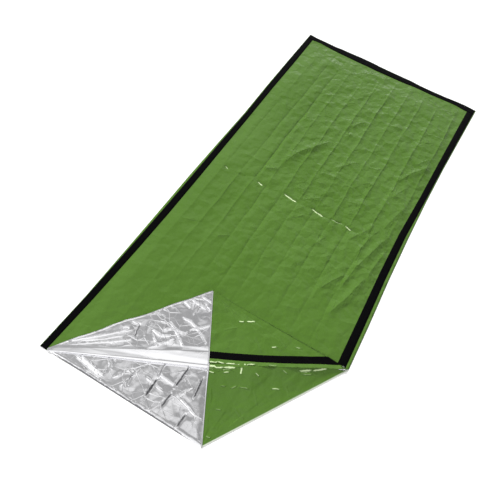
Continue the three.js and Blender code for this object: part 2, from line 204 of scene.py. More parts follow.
def loft_share(x, y):
    """0 under the tapes and 1 inside them, by the distance from the nearest edge"""
    inside = np.minimum(x + HALF_WIDTH - side(y, LEFT), HALF_WIDTH - side(y, RIGHT) - x)
    from_foot = smooth((HALF_LENGTH - y - FOOT_LOFT_START) / FOOT_LOFT_RUN)
    return smooth((inside - LOFT_START) / LOFT_RUN) * from_foot


print("loft in the middle", LOFT * float(loft_share(np.zeros(1), np.zeros(1))[0]), "mm")

# %% [markdown]
# ## Creases and hard lines
#
# Film this thin keeps every fold it was packed in. A simulation of cloth would round them off, so
# each crease is placed one by one from the photograph, as a soft tent along a line of points. Its
# crest is much thinner than the mesh can show, so each point also keeps how far the nearest
# crease is and how strong. The materials read both, and draw the crest crisply: as a bump, and
# where it is strongest also as painted pale highlight on green and painted shade on silver.

# %% Creases and hard lines
def to_polyline(x, y, points):
    """Distance to a line of points, below zero on its right side, and how far the nearest point
    is from the line's nearer end, as a share of its length"""
    points = np.asarray(points, float)
    runs = np.diff(points, axis=0)
    lengths = np.hypot(*runs.T)
    nearest, signed, along = np.full(x.shape, 1e9), np.zeros(x.shape), np.zeros(x.shape)
    for start, run, length, before in zip(points, runs, lengths, np.cumsum(lengths) - lengths):
        dx, dy = x - start[0], y - start[1]
        t = np.clip((dx * run[0] + dy * run[1]) / length**2, 0.0, 1.0)
        off = np.hypot(dx - t * run[0], dy - t * run[1])
        closer = off < nearest
        along = np.where(closer, before + t * length, along)
        signed = np.where(closer, np.copysign(off, run[0] * dy - run[1] * dx), signed)
        nearest = np.minimum(nearest, off)
    return signed, np.minimum(along, lengths.sum() - along) / lengths.sum()


def crease(x, y, points, height, width):
    """height (1 - d / width), d being the distance from a line of points, faded at both its
    ends and rounded over the last 1.5 mm at its crest"""
    signed, from_end = to_polyline(x, y, points)
    off = np.hypot(signed, 1.5) - 1.5
    return height * np.clip(1.0 - off / width, 0.0, 1.0) ** 1.2 * smooth(from_end / 0.3 + 0.15)


def creases(x, y, table, share):
    """The sum of a table's creases, each a height, a width and its points, with their heights
    times share"""
    return sum(crease(x, y, points, share * rise, width) for rise, width, *points in table)


def lines_of(x, y, lines):
    """Strength and distance for each line, which is a strength and then its points. The strength
    fades out toward both ends."""
    for strength, *points in lines:
        signed, from_end = to_polyline(x, y, points)
        yield strength * smooth(0.35 + 3 * from_end) * smooth(12 * from_end), signed


def film_marks(rim_highlight, taut, lines, reach):
    """The four marks of the film: a painted pale highlight, taut, and the strength and distance of
    whichever line is nearest, with no strength farther off than reach, which is about one grid
    cell. A line whose strength is over 1 counts as 2 mm nearer, so that it isn't broken by a
    fainter one."""
    strength, nearest, best = 0.0, 1e9, 1e9
    for value, signed in lines:
        off = np.abs(signed) - 2.0 * (np.abs(value) > 1)
        closer = off < best
        strength, nearest = np.where(closer, value, strength), np.where(closer, signed, nearest)
        best = np.minimum(best, off)
    strength = np.where(np.abs(nearest) < reach, strength, 0.0)
    return np.stack(np.broadcast_arrays(rim_highlight, taut, strength, nearest), -1)


sample = crease(np.array([0.0, 4.0, 8.0]), np.zeros(3), ((0, -50), (0, 50)), 1.0, 8.0)
print("a crease of height 1 and width 8 at 0, 4 and 8 mm from its line:", sample.round(2))

# %% [markdown]
# ## Crumpled film
#
# Between its creases the film falls into flat facets with sharp little ridges. Noise would give
# round lumps instead. The difference of two fans of planes, each the highest plane at every
# point, gives facets. A slow swell lets the film lie uneven. All the random numbers are seeded,
# so the bag is the same at every run.

# %% Crumpled film
def fan(x, y, spacing, rng):
    """The highest of many paraboloids - |p - p_i|^2, whose tops p_i stand on a shaken grid"""
    reach = spacing * 1.5
    gx = np.arange(x.min() - reach, x.max() + reach, spacing)
    gy = np.arange(y.min() - reach, y.max() + reach, spacing)
    tops = np.stack(np.meshgrid(gx, gy), -1).reshape(-1, 2)
    tops = tops + rng.uniform(-0.5, 0.5, tops.shape) * spacing
    lift = rng.uniform(0.0, 0.35, len(tops)) * spacing**2
    best = np.full(x.shape, -1e9)
    for (px, py), up in zip(tops, lift):
        best = np.maximum(best, up - (x - px) ** 2 - (y - py) ** 2)
    return best / spacing**2


def facets(x, y, spacing, height, seed, stretch=(1.0, 1.0)):
    """Crumpled film: height (fan_1 - fan_2), so that the curved parts cancel and planes stay"""
    rng = np.random.default_rng(seed)
    x, y = x * stretch[0], y * stretch[1]
    return height * (fan(x, y, spacing, rng) - fan(x, y, spacing, rng))


def swell(x, y, length, height, seed):
    """Sum of six sine waves of about one length in random directions"""
    rng = np.random.default_rng(seed)
    total = np.zeros(x.shape)
    for _ in range(6):
        turn, phase = rng.uniform(0, math.pi), rng.uniform(0, 2 * math.pi)
        scale = 2 * math.pi / (length * rng.uniform(0.7, 1.4))
        total += np.sin((x * math.cos(turn) + y * math.sin(turn)) * scale + phase)
    return height * total / 6**0.5


sample = facets(*np.meshgrid(np.arange(0.0, 200.0, 5.0), np.arange(0.0, 200.0, 5.0)), 60.0, 1.0, 1)
print("facets of height 1 reach from", round(float(sample.min()), 2), "to", round(float(sample.max()), 2))

# %% [markdown]
# ## Making a sheet
#
# A sheet is laid out in patches of rows and columns that share their edges. The patches are
# welded where their points meet. A Solidify modifier could give the thickness, but the tapes have
# to follow the film exactly, so both are made from the same normals: each point moves along its
# own to both sides, and a wall closes every open edge. One side takes the outer finish and the
# other the inner one. Where a patch has twice as many columns as its neighbour, its first row
# repeats each point.

# %% Sheet maker
TAG_FILM, TAG_RIM, TAG_LEFT, TAG_FOOT, TAG_RIGHT = range(5)


class Sheet:
    """Patches of points welded into one surface, with a normal at each point"""

    def __init__(self, patches):
        """Welds points that lie within 0.002 mm, and sums the faces' cross products at each"""
        points = np.concatenate([p["xyz"].reshape(-1, 3) for p in patches])
        flat = np.concatenate([p["uv"].reshape(-1, 2) for p in patches])
        marks = (np.broadcast_to(p.get("marks", 0.0), (*p["xyz"].shape[:2], 4)) for p in patches)
        marks = np.concatenate([mark.reshape(-1, 4) for mark in marks])
        key = np.round(points * 500).astype(np.int64)
        _, first, number = np.unique(key, axis=0, return_index=True, return_inverse=True)
        self.points, self.flat, self.marks = points[first], flat[first], marks[first]
        number = number.ravel()
        quads, tags, start = [], [], 0
        for patch in patches:
            rows, cols = patch["xyz"].shape[:2]
            ids = number[start : start + rows * cols].reshape(rows, cols)
            start += rows * cols
            corners = ids[:-1, :-1], ids[1:, :-1], ids[1:, 1:], ids[:-1, 1:]
            quads.append(np.stack(corners, -1).reshape(-1, 4))
            tags.append(np.broadcast_to(patch["tag"], (rows - 1, cols - 1)).reshape(-1))
        quads, tags = np.concatenate(quads), np.concatenate(tags)
        triangles = np.concatenate([quads[:, [0, 1, 2]], quads[:, [0, 2, 3]]])
        tags = np.concatenate([tags, tags])
        a, b, c = triangles.T
        real = (a != b) & (b != c) & (a != c)
        self.triangles, self.tags = triangles[real], tags[real]
        p, q, r = (self.points[self.triangles[:, i]] for i in range(3))
        face = np.cross(q - p, r - p)
        normals = np.zeros_like(self.points)
        for i in range(3):
            np.add.at(normals, self.triangles[:, i], face)
        self.normals = normals / np.maximum(np.linalg.norm(normals, axis=1, keepdims=True), 1e-9)

    def area(self):
        """Half the length of each triangle's cross product, summed, in square metres"""
        p, q, r = (self.points[self.triangles[:, i]] for i in range(3))
        return float(np.linalg.norm(np.cross(q - p, r - p), axis=1).sum() / 2 * MM * MM)

    def build(self, name, thickness, materials, keep=None, lift=0.0, edge=1):
        """A closed mesh: faces at lift + thickness / 2 and lift - thickness / 2 along the
        normals, and walls along the edges that only one triangle has"""
        kept = slice(None) if keep is None else np.isin(self.tags, keep)
        tri, tags = self.triangles[kept], self.tags[kept]
        used, local = np.unique(tri, return_inverse=True)
        tri = local.reshape(tri.shape)
        n = len(used)
        base, up, half = self.points[used], self.normals[used], thickness / 2
        points = np.concatenate([base + up * (lift + half), base + up * (lift - half)])
        ends = np.concatenate([tri[:, [0, 1]], tri[:, [1, 2]], tri[:, [2, 0]]])
        codes, back = ends[:, 0] * n + ends[:, 1], ends[:, 1] * n + ends[:, 0]
        open_ends = ends[~np.isin(codes, back)]
        i, j = open_ends.T
        walls = np.concatenate([np.stack([i, i + n, j + n], 1), np.stack([i, j + n, j], 1)])
        faces = np.concatenate([tri, tri[:, ::-1] + n, walls])
        slots = [np.where(tags == TAG_RIM, 1, 0), np.ones(len(tri), int), np.full(len(walls), edge)]
        slots = np.minimum(np.concatenate(slots), len(materials) - 1)
        flat, marks = (np.concatenate([row[used]] * 2) for row in (self.flat * MM, self.marks))
        return mesh_object(name, points, faces, flat, marks, slots, materials)


# %% [markdown]
# ## Writing a mesh
#
# The arrays go into Blender in whole blocks. The flat coordinates become the UV map, on which the
# patterns follow the film through its folds, and the marks become attributes of the points.

# %% Writing a mesh
def mesh_object(name, points, faces, flat, marks, slots, materials):
    """Writes arrays into a Blender mesh, in metres, with smooth shading, a UV map and the marks:
    painted pale highlight, taut and line strength in one attribute, the line's distance in mm in another"""
    mesh = bpy.data.meshes.new(name)
    mesh.vertices.add(len(points))
    mesh.vertices.foreach_set("co", (points * MM).astype(np.float32).ravel())
    mesh.loops.add(faces.size)
    mesh.loops.foreach_set("vertex_index", faces.astype(np.int32).ravel())
    mesh.polygons.add(len(faces))
    mesh.polygons.foreach_set("loop_start", np.arange(0, faces.size, 3, dtype=np.int32))
    mesh.polygons.foreach_set("material_index", slots.astype(np.int32))
    mesh.polygons.foreach_set("use_smooth", np.ones(len(faces), bool))
    mesh.update(calc_edges=True)
    uv = mesh.uv_layers.new(name="flat")
    uv.data.foreach_set("uv", flat[faces.ravel()].astype(np.float32).ravel())
    marks = marks.astype(np.float32)
    for key, kind, field, values in (
        ("marks", "FLOAT_VECTOR", "vector", marks[:, :3]),
        ("off_line", "FLOAT", "value", marks[:, 3]),
    ):
        mesh.attributes.new(key, kind, "POINT").data.foreach_set(field, values.ravel())
    for material in materials:
        mesh.materials.append(material)
    mesh.validate()
    piece = bpy.data.objects.new(name, mesh)
    bpy.context.scene.collection.objects.link(piece)
    print(f"{name}: {len(faces)} triangles")
    return piece


# %% [markdown]
# ## Heights of the layers
#
# The upper film stands a few millimetres off the lower one in the middle, because air stays in
# the bag, and comes down to it under the tapes. The flap lies on that, and the doubled corner on
# the flap. Layers could be left to settle in a simulation. Here each height is worked out from
# the place on the floor and the height below it, so the layers never cross.

# %% Layer heights
def upper_height(x, y):
    """Seam height plus the loft, which is lower near the fold line"""
    near = 1.0 - smooth(to_fold(x, y)[1] / FOLD_RUN)
    return SEAM_Z + loft_share(x, y) * mix(LOFT, LOFT_AT_FOLD, near)


def flap_lift(x, y):
    """The flap's free edge stands off the panel in ripples, and its tip stands up by 5 mm"""
    from_tip = np.hypot(x - FLAP_TIP[0], y - FLAP_TIP[1])
    from_edge = np.abs(from_line(x, y, FOLD_START, FLAP_TIP))
    way = np.clip((y - FOLD_START[1]) / (FLAP_TIP[1] - FOLD_START[1]), 0, 1)
    ripple = np.sin(way * math.pi) * (1.6 + 1.1 * np.sin(way * 17))
    behind = smooth((to_fold(x, y)[1] - 12) / 40)
    return 5 * (1 - smooth(from_tip / 120)) + behind * ripple * (1 - smooth(from_edge / 45))


def flap_height(x, y):
    """The roll's top where it is in front of its crest, then a slope down to the gap behind it"""
    along, across = to_fold(x, y)
    radius, reach, land = (roll(along, c) for c in (RADIUS, REACH, LAND))
    crest = radius - reach
    share = np.clip((across - crest) / (land - crest), 0, 1)
    gap = mix(GAP_AT_TURN, FLAP_GAP, smooth(np.abs(from_line(x, y, FOLD_END, FLAP_TIP)) / 60))
    gap = np.where(x < FLAP_TIP[0], FLAP_GAP, mix(FLAP_GAP, gap, smooth((x - FLAP_TIP[0]) / 60)))
    return upper_height(x, y) + mix(2 * radius, gap, share) + flap_lift(x, y)


def cover_height(x, y):
    """The doubled corner: the flap's height and a gap that is wider over the back panel's edge"""
    across = to_fold(x, y)[1]
    gap = mix(COVER_GAP, 2 * TURN_RADIUS, smooth((across - 14) / 50))
    return flap_height(x, y) + gap


def back_cover_height(x, y):
    """The back panel's corner: over the roll's crest, then down to its own fold as (1 - s)^1.6"""
    along, across = to_fold(x, y)
    crest = roll(along, RADIUS) - roll(along, REACH)
    top = flap_height(x, y) + UNDER_COVER_GAP
    to_line = np.abs(from_line(x, y, BACK_CORNER, BACK_TIP))
    down = np.clip((crest - across) / np.maximum(crest - across + to_line, 1e-6), 0, 1)
    foot = BACK_Z + 2 * TURN_RADIUS
    return np.where(across >= crest, top, foot + (top - foot) * (1 - down) ** 1.6)


print("flap's tip stands", round(float(flap_height(*FLAP_TIP)), 1), "mm over the floor")

# %% [markdown]
# ## Packing creases
#
# The bag was folded lengthwise into strips about 72 mm wide before it was packed, then folded
# across in the middle. So eleven creases run along it, and each stands up on one side of the
# cross fold and sinks in on the other. The heights were read from the photograph in ten bands.

# %% Packing creases
BANDS = (960, 790, 600, 405, 210, 26, -6, -85, -235, -385, -620)
CREASE_RISE, PULL_RISE, FOOT_PULL_RISE, CROSS_RISE = 2.2, 3.2, 1.0, 1.25

# x at the foot, in the middle and at the mouth, then the height at each of BANDS
LONG_CREASES = np.array([
    (-346, -354, -360, 0.0, 0.4, 0.5, -0.6, -0.4, -0.4, 0.4, 0.6, 0.5, 0.3, 0.1),
    (-272, -282, -289, 0.0, -0.7, -0.8, -1.0, -0.6, -0.5, 1.0, 1.3, 0.9, 0.6, 0.2),
    (-214, -219, -225, 0.0, -0.7, -0.8, -1.5, -1.6, -1.3, 0.9, 1.1, 0.9, 0.6, 0.2),
    (-160, -162, -156, 0.0, 0.5, 0.8, 0.7, 0.7, 0.6, -1.0, -1.1, -0.8, -0.4, -0.1),
    (-86, -91, -85, 0.0, 0.5, 0.8, 1.0, 1.2, 1.0, -0.7, -0.9, -0.9, -0.8, 0.0),
    (-17, -18, -14, 0.0, 0.9, 1.4, 1.5, 1.0, 0.9, -0.4, -0.5, -0.7, -0.6, 0.0),
    (57, 58, 59, 0.0, 1.4, 1.5, 1.5, 0.6, 0.5, -0.8, -0.9, -0.7, -0.3, 0.0),
    (133, 131, 135, 0.0, 1.1, 1.1, 0.8, 1.0, 0.9, -0.7, -0.8, -0.7, -0.5, 0.0),
    (209, 206, 213, 0.0, 1.2, 0.9, 1.2, 1.1, 0.9, -1.0, -1.0, -1.0, -0.5, 0.0),
    (286, 285, 288, 0.0, 1.1, 1.3, 1.3, 1.1, 0.9, -0.9, -1.0, -0.8, -0.7, 0.0),
    (374, 366, 360, 0.0, 1.3, 1.2, 0.9, 0.6, 0.4, -0.2, -0.2, -0.2, -0.1, 0.0),
])


def long_lines(x, y):
    """Height and distance for each lengthwise crease: both are read between the bands, and the
    line wanders by two sine waves"""
    for row in LONG_CREASES:
        place = np.interp(y, (-500, 210, 790), row[2::-1])
        place = place + 1.6 * np.sin(y / 61.0 + row[0]) + 1.0 * np.sin(y / 23.0 + 2 * row[0])
        yield np.interp(y, BANDS[::-1], row[:2:-1]), x - place


def long_creases(x, y):
    """Each crease is its height (1 - d / 11), d being the distance from it"""
    total = np.zeros(x.shape)
    for height, signed in long_lines(x, y):
        off = np.hypot(signed, 1.2) - 1.2
        total += height * np.clip(1.0 - off / 11.0, 0.0, 1.0) ** 1.15
    return CREASE_RISE * total * mix(0.75, 1.0, smooth((y + 20) / 20))


highest = CREASE_RISE * LONG_CREASES[:, 3:].max()
print(len(LONG_CREASES), "packing creases, the highest", round(float(highest), 1), "mm")

# %% [markdown]
# ## Pulls and the cross fold
#
# The diagonal wrinkles come from the pull between the taped edges. They are placed one by one and
# stand up as ridges, lower ones near the foot. The cross fold is a valley, a faint one with short
# deep parts, which are painted pale as a highlight of the fold.

# %% Pulls and the cross fold
# height, width, then the points
PULLS = [
    (2.4, 15, (30, 948), (-30, 925), (-115, 897), (-133, 865), (-155, 852), (-197, 838)),
    (1.6, 14, (165, 950), (225, 930), (288, 905)), (1.5, 10, (298, 888), (345, 916), (380, 930)),
    (1.3, 10, (335, 868), (356, 892), (378, 918)), (1.3, 12, (302, 846), (350, 880)),
    (2.4, 16, (296, 772), (345, 752), (382, 758)), (1.9, 13, (290, 680), (322, 702), (378, 706)),
    (1.5, 22, (345, 662), (318, 640), (290, 590)), (0.9, 14, (-348, 850), (-290, 926)),
    (1.0, 12, (-118, 648), (-88, 692)), (0.9, 12, (-192, 640), (-164, 662)),
    (2.2, 15, (52, 596), (22, 572), (8, 546), (-2, 516)), (0.9, 12, (118, 636), (200, 652)),
    (0.8, 12, (115, 598), (195, 606)), (0.8, 12, (170, 870), (205, 800)),
    (0.7, 14, (-330, 740), (-290, 700)), (0.8, 14, (-320, 660), (-285, 690)),
    (0.7, 12, (20, 810), (50, 780)),
    (2.8, 17, (380, 505), (350, 462), (322, 420), (303, 375), (290, 340)),
    (1.7, 13, (364, 548), (345, 520), (326, 482)),
    (3.2, 20, (-18, 384), (-52, 372), (-80, 322), (-108, 278), (-138, 228), (-150, 185), (-160, 136)),
    (1.8, 13, (18, 484), (-6, 446)), (1.6, 13, (118, 347), (85, 325), (70, 295), (28, 248)),
    (1.9, 12, (104, 206), (40, 203), (8, 198), (-16, 174)),
    (1.5, 12, (208, 374), (190, 358), (148, 341)), (1.5, 12, (205, 271), (163, 242)),
    (1.6, 15, (336, 338), (315, 290), (290, 238)), (1.4, 9, (298, 254), (340, 270), (378, 273)),
    (1.3, 10, (318, 220), (366, 252)), (2.0, 12, (-218, 78), (-195, 88), (-164, 104)),
    (1.4, 12, (46, 146), (-8, 138)), (1.3, 12, (-18, 76), (-64, 62)),
    (1.5, 12, (228, 152), (195, 138), (148, 121)), (1.0, 12, (210, 118), (178, 80)),
    (1.0, 12, (-28, 122), (-58, 94)), (0.8, 12, (-330, 100), (-240, 102)),
    (0.9, 12, (-190, 470), (-210, 420)), (0.8, 14, (-330, 500), (-300, 440)),
    (0.9, 12, (-200, 380), (-205, 330)), (0.9, 12, (150, 500), (160, 440)),
    (0.8, 12, (90, 440), (110, 410)), (1.4, 12, (368, 244), (345, 150), (326, 56)),
    (1.9, 12, (324, 80), (300, 10), (288, -60), (291, -130)),
    (2.4, 14, (366, 66), (345, 0), (326, -80), (306, -150), (292, -270)),
    (2.2, 22, (356, -170), (332, -280), (298, -390)), (1.8, 12, (288, -196), (258, -245), (224, -315)),
    (1.6, 12, (292, 64), (268, 20), (234, -46)), (1.3, 12, (60, 78), (20, 46), (-8, 18)),
    (1.0, 12, (18, -4), (-12, -46)), (1.1, 12, (42, -34), (10, -75), (-24, -84)),
    (1.2, 10, (382, 10), (366, -90), (362, -180)), (1.0, 12, (150, -86), (128, -140)),
    (1.0, 12, (-202, -322), (-160, -290)), (0.9, 12, (-352, -326), (-290, -300)),
    (0.8, 12, (-342, -216), (-298, -210)), (0.8, 12, (-140, -110), (-112, -120)),
    (0.8, 12, (180, -180), (205, -150)), (0.9, 14, (-45, -80), (-70, -95)),
    (0.8, 14, (220, -300), (226, -360)), (0.7, 14, (70, -110), (110, -100)),
    (0.8, 12, (-120, -210), (-90, -205)), (0.8, 12, (215, -200), (265, -196)),
    (0.7, 14, (-150, -420), (-110, -440)), (0.7, 16, (150, -440), (210, -420)),
]

# the cross fold, a valley: a light one all the way, with short deep parts
CROSS_FOLD = [
    (-0.5, 9, (-352, -7), (-330, -13), (-265, -12), (-250, 0), (-215, 22), (-195, 1), (-172, -7),
     (-100, 0), (-85, 9)),
    (-0.5, 9, (-85, 9), (-20, -3), (0, -8), (45, 6), (103, -5), (130, 2), (185, 10), (222, 0), (330, 6)),
    (-1.6, 8, (-354, -6), (-328, -14)), (-2.6, 8, (-203, 3), (-172, -7)), (-3.2, 8, (-86, 8), (-14, -4)),
    (-3.0, 8, (42, 6), (108, -5)), (-1.4, 8, (126, 2), (160, 4), (188, 10)),
    (-2.6, 8, (192, 9), (226, -1)),
]


def near_flap(y):
    """1 toward the flap, where the film lies smoother, and 0 beyond it"""
    return smooth((-220 - y) / 200)


def upper_marks(x, y):
    """A hard line along each crease. The cross fold's deep parts also get a painted pale highlight.
    The film is tauter toward the mouth and the left side."""
    taut = np.maximum(0.6 * (1 - smooth((0.6 * x + 0.2 * y + 260) / 420)), 0.5 * near_flap(y))
    pulls = [(min(0.95, rise / 1.7), *points) for rise, _, *points in PULLS]
    # the cross fold's deep parts get a strength past 1, which the green finish paints as a pale highlight
    cross = [(-0.25 if rise > -1 else 0.30 * rise - 1, *points) for rise, _, *points in CROSS_FOLD]
    share = np.where(y > -6, 0.85, 0.6)
    long = ((np.clip(share * height, -0.95, 0.95), signed) for height, signed in long_lines(x, y))
    return film_marks(0.0, taut, (*long, *lines_of(x, y, pulls + cross)), 13.0)


def upper_wrinkles(x, y):
    """Creases, facets and swell, faded at the tapes and under the flap"""
    height = long_creases(x, y)
    for rise, width, *points in PULLS:
        rise *= mix(PULL_RISE, FOOT_PULL_RISE, np.clip((points[0][1] - 600) / 150, 0, 1))
        height += crease(x, y, points, rise, width)
    height += creases(x, y, CROSS_FOLD, CROSS_RISE)
    slack = mix(0.6, 1.3, smooth((0.5 * x + 0.35 * y + 260) / 420)) * mix(1.0, 0.5, near_flap(y))
    height += facets(x, y, 120.0, 1.8, 11, (0.8, 1.0)) + swell(x, y, 420.0, 0.9, 13)
    height += slack * (facets(x, y, 62.0, 1.9, 14) + facets(x, y, 36.0, 1.7, 12, (0.7, 1.0)))
    past_flap = np.maximum(from_line(x, y, FOLD_START, FLAP_TIP), from_line(x, y, FLAP_TIP, FOLD_END))
    return height * smooth(loft_share(x, y) * 3) * smooth((past_flap + 4) / 40)


print(len(PULLS), "pulls and", len(CROSS_FOLD), "parts of the cross fold")

# %% [markdown]
# ## Front panel
#
# The front panel starts as a rectangle of film with the black tapes along three sides. It is laid
# out in columns that follow the tapes' edges, so the tapes can be cut from the same columns and
# follow every wrinkle. Below the fold line each column goes round the roll and up the flap. On the
# right it also goes round the second fold and down the doubled corner to the mouth edge.

# %% Front panel columns
def steps(knots, size):
    """Even steps no longer than size between each two knots"""
    out = [knots[0]]
    for a, b in zip(knots[:-1], knots[1:]):
        n = max(1, math.ceil(abs(b - a) / size))
        out += [mix(a, b, (i + 1) / n) for i in range(n)]
    return np.array(out)


tape_share = np.array([0.0, 0.33, 0.67])
BESIDE_CREASE = (-11.0, -5.5, -2.0, 2.0, 5.5, 11.0)
BETWEEN = 5


def unfolded(x, v):
    """u of the point that lies at x: flat_place the other way round"""
    left, right = side(v, LEFT), side(v, RIGHT)
    return (x - (left - right) / 2) / (1 - (left + right) / (2 * HALF_WIDTH))


def column_places(v):
    """u of every column at the rows v: the tapes' edges, lines beside each crease, and even
    shares of the strips in between"""
    v = np.asarray(v, float)[:, None]
    left_outer, left_inner = side(v, LEFT_OUTER), side(v, LEFT_INNER)
    right_outer, right_inner = side(v, RIGHT_OUTER), side(v, RIGHT_INNER)
    parts = [np.full_like(v, -HALF_WIDTH), -HALF_WIDTH + mix(left_outer, left_inner, tape_share)]
    before = left_inner - HALF_WIDTH
    parts += [before, before + 5]
    before = before + 5
    for row in LONG_CREASES:
        place = unfolded(np.interp(v, (-500, 210, 790), row[2::-1]), v)
        beside = place + np.array(BESIDE_CREASE)
        between = np.arange(1, BETWEEN + 1) / (BETWEEN + 1)
        parts += [mix(before, beside[:, :1], between), beside]
        before = beside[:, -1:]
    parts += [mix(before, HALF_WIDTH - right_inner, np.array([0.34, 0.67, 1.0]))]
    parts += [HALF_WIDTH - mix(right_inner, right_outer, np.array([0.33, 0.67, 1.0]))]
    parts += [HALF_WIDTH - right_outer * np.array([0.5, 0.0])]
    return np.concatenate(parts, 1)


# the numbers of some columns: the first one inside the left tape, the right tape's inner and
# outer edges, and the one at the tip, where the turned corner begins
columns = column_places([0.0]).shape[1]
mouth_u = column_places([-HALF_LENGTH])[0]
START = 1 + len(tape_share) + 1
INNER_END = columns - 6
RELIEF = INNER_END + len(tape_share)
TIP = int(np.argmin(np.abs(mouth_u - BACK_TIP[0])))
tags = np.full(columns - 1, TAG_FILM)
tags[1 : START - 1] = TAG_LEFT
tags[INNER_END:RELIEF] = TAG_RIGHT
print(columns, "columns; fold starts at", START, "tip", TIP, "relief", RELIEF)


def doubled(rows, stop=None):
    """Rows of points with a midpoint after each column before stop"""
    last = rows.shape[0] - 1
    stop = last if stop is None else stop
    at = np.concatenate([np.arange(0, stop, 0.5), np.arange(stop, last + 1)])
    low = np.minimum(np.floor(at).astype(int), last)
    part = (at - low).reshape(-1, *[1] * (rows.ndim - 1))
    return mix(rows[low], rows[np.minimum(low + 1, last)], part), at != low


# %% [markdown]
# ## The flat part of the front panel
#
# Rows run straight across the foot tape and the cross fold. Below that they fan out, so that the
# last one lies on the diagonal fold line. Each cell knows by its tag whether a tape covers it.

# %% Front panel, the part that isn't folded
def fold_rows():
    """v where the fold line crosses each column, found by a few rounds of correction"""
    v = np.full(columns, FOLD_START[1])
    pick = np.arange(columns)
    for _ in range(8):
        u = column_places(v)[pick, pick]
        x, y = flat_place(u, v)
        v = v - ((y - FOLD_START[1]) - (x - FOLD_START[0]) * fold_span[1] / fold_span[0])
        v = np.maximum(v, -HALF_LENGTH)
    v[:START] = -HALF_LENGTH
    return v


# rows no farther apart than ROW_STEP, closer together at the cross fold, then the fanned ones
ROW_STEP, FANNED_ROWS = 11.0, 81
fold_v = fold_rows()
head_rows = steps([HALF_LENGTH, FOOT_TAPE_OUT, FOOT_TAPE_IN, 964.0, 940, 36, 12, -16, -60], ROW_STEP)
head_rows = np.unique(np.concatenate([head_rows, np.arange(-16, 20, 4.0)]))[::-1]
tail_share = np.linspace(0, 1, FANNED_ROWS + 1)[1:]


def upper_patch():
    """Rows straight across down to -60, then fanned out to end on the fold line"""
    head = np.repeat(head_rows[:, None], columns, 1)
    v = np.concatenate([head, mix(head_rows[-1], fold_v, tail_share[:, None])])
    u = np.stack([column_places(v[:, j])[:, j] for j in range(columns)], 1)
    x, y = flat_place(u, v)
    z = upper_height(x, y) + upper_wrinkles(x, y)
    tag = np.broadcast_to(tags, (len(v) - 1, columns - 1)).copy()
    tag[0] = TAG_FILM
    tag[(v[:-1, 0] > FOOT_TAPE_IN) & (v[:-1, 0] <= FOOT_TAPE_OUT), 1:-2] = TAG_FOOT
    marks = upper_marks(x, y)
    return {"xyz": np.stack([x, y, z], -1), "uv": np.stack([u, v], -1), "tag": tag, "marks": marks}


upper = upper_patch()
print("the flat part has", upper["xyz"].shape[0], "rows")

# %% [markdown]
# ## Tools for the folded part
#
# The folded film is laid out first and crumpled afterwards, along its own normals, so that the
# same facets serve on the flat and round the turns. The way walked down a column, which is the
# length of film used up so far, gives the place on the unfolded sheet.

# %% Tools for the folded part
HALF_TURN = np.radians(np.linspace(-90, 90, 17))
TIGHT_TURN = np.radians(np.linspace(-90, 90, 9))
BACK_STEPS = np.linspace(0, 1, 13)[1:]
FLAP_STEPS = np.linspace(0, 1, 66)[1:]
print("rows round the roll, behind it and up the flap:", len(HALF_TURN), len(BACK_STEPS), len(FLAP_STEPS))


def raised(xyz, amount):
    """Moves a patch along its normals, the cross products of its two grid directions. The silver
    side is the reverse one, so a positive amount moves against them."""
    n = np.cross(np.gradient(xyz, axis=0), np.gradient(xyz, axis=1))
    n /= np.maximum(np.linalg.norm(n, axis=-1, keepdims=True), 1e-9)
    return xyz - n * amount[..., None]


def path_length(xyz):
    """Length walked down each column"""
    walk = np.linalg.norm(np.diff(xyz, axis=0), axis=-1)
    return np.concatenate([np.zeros((1, xyz.shape[1])), np.cumsum(walk, 0)])


def row_at(flat, z):
    """A row of points from their places on the floor and their heights"""
    return np.column_stack([flat, np.broadcast_to(z, len(flat))])


def turn_share(u):
    """Share of the second fold, from the right side to the tip"""
    return np.clip((HALF_WIDTH - u) / (HALF_WIDTH - mouth_u[TIP]), 0, 1)[:, None]


def flap_edge(u, start):
    """The flap's far edge: a wavy line up to the tip, then the second fold"""
    share = np.clip((u - u[0]) / (mouth_u[TIP] - u[0]), 0, 1)[:, None]
    wave = 2.4 * np.sin(share * 19) * np.sin(share * math.pi)
    free = mix(start, FLAP_TIP - (0, TURN_RADIUS), share) + wave * np.array([-0.8, 0.6])
    doubled = mix(FOLD_END, FLAP_TIP, turn_share(u)) - (0, TURN_RADIUS)
    return np.where(u[:, None] <= mouth_u[TIP], free, doubled)


# %% [markdown]
# ## The roll and the flap
#
# Over the roll a column is a half circle standing out past the fold line. Behind it the film comes
# down in a slope and lies on the panel as the bright flap. A Bend modifier turns a sheet about one
# radius only, and this roll is fattest in the middle, so each column has its own. Long streaks run
# along the roll, where the film is stretched round the turn.

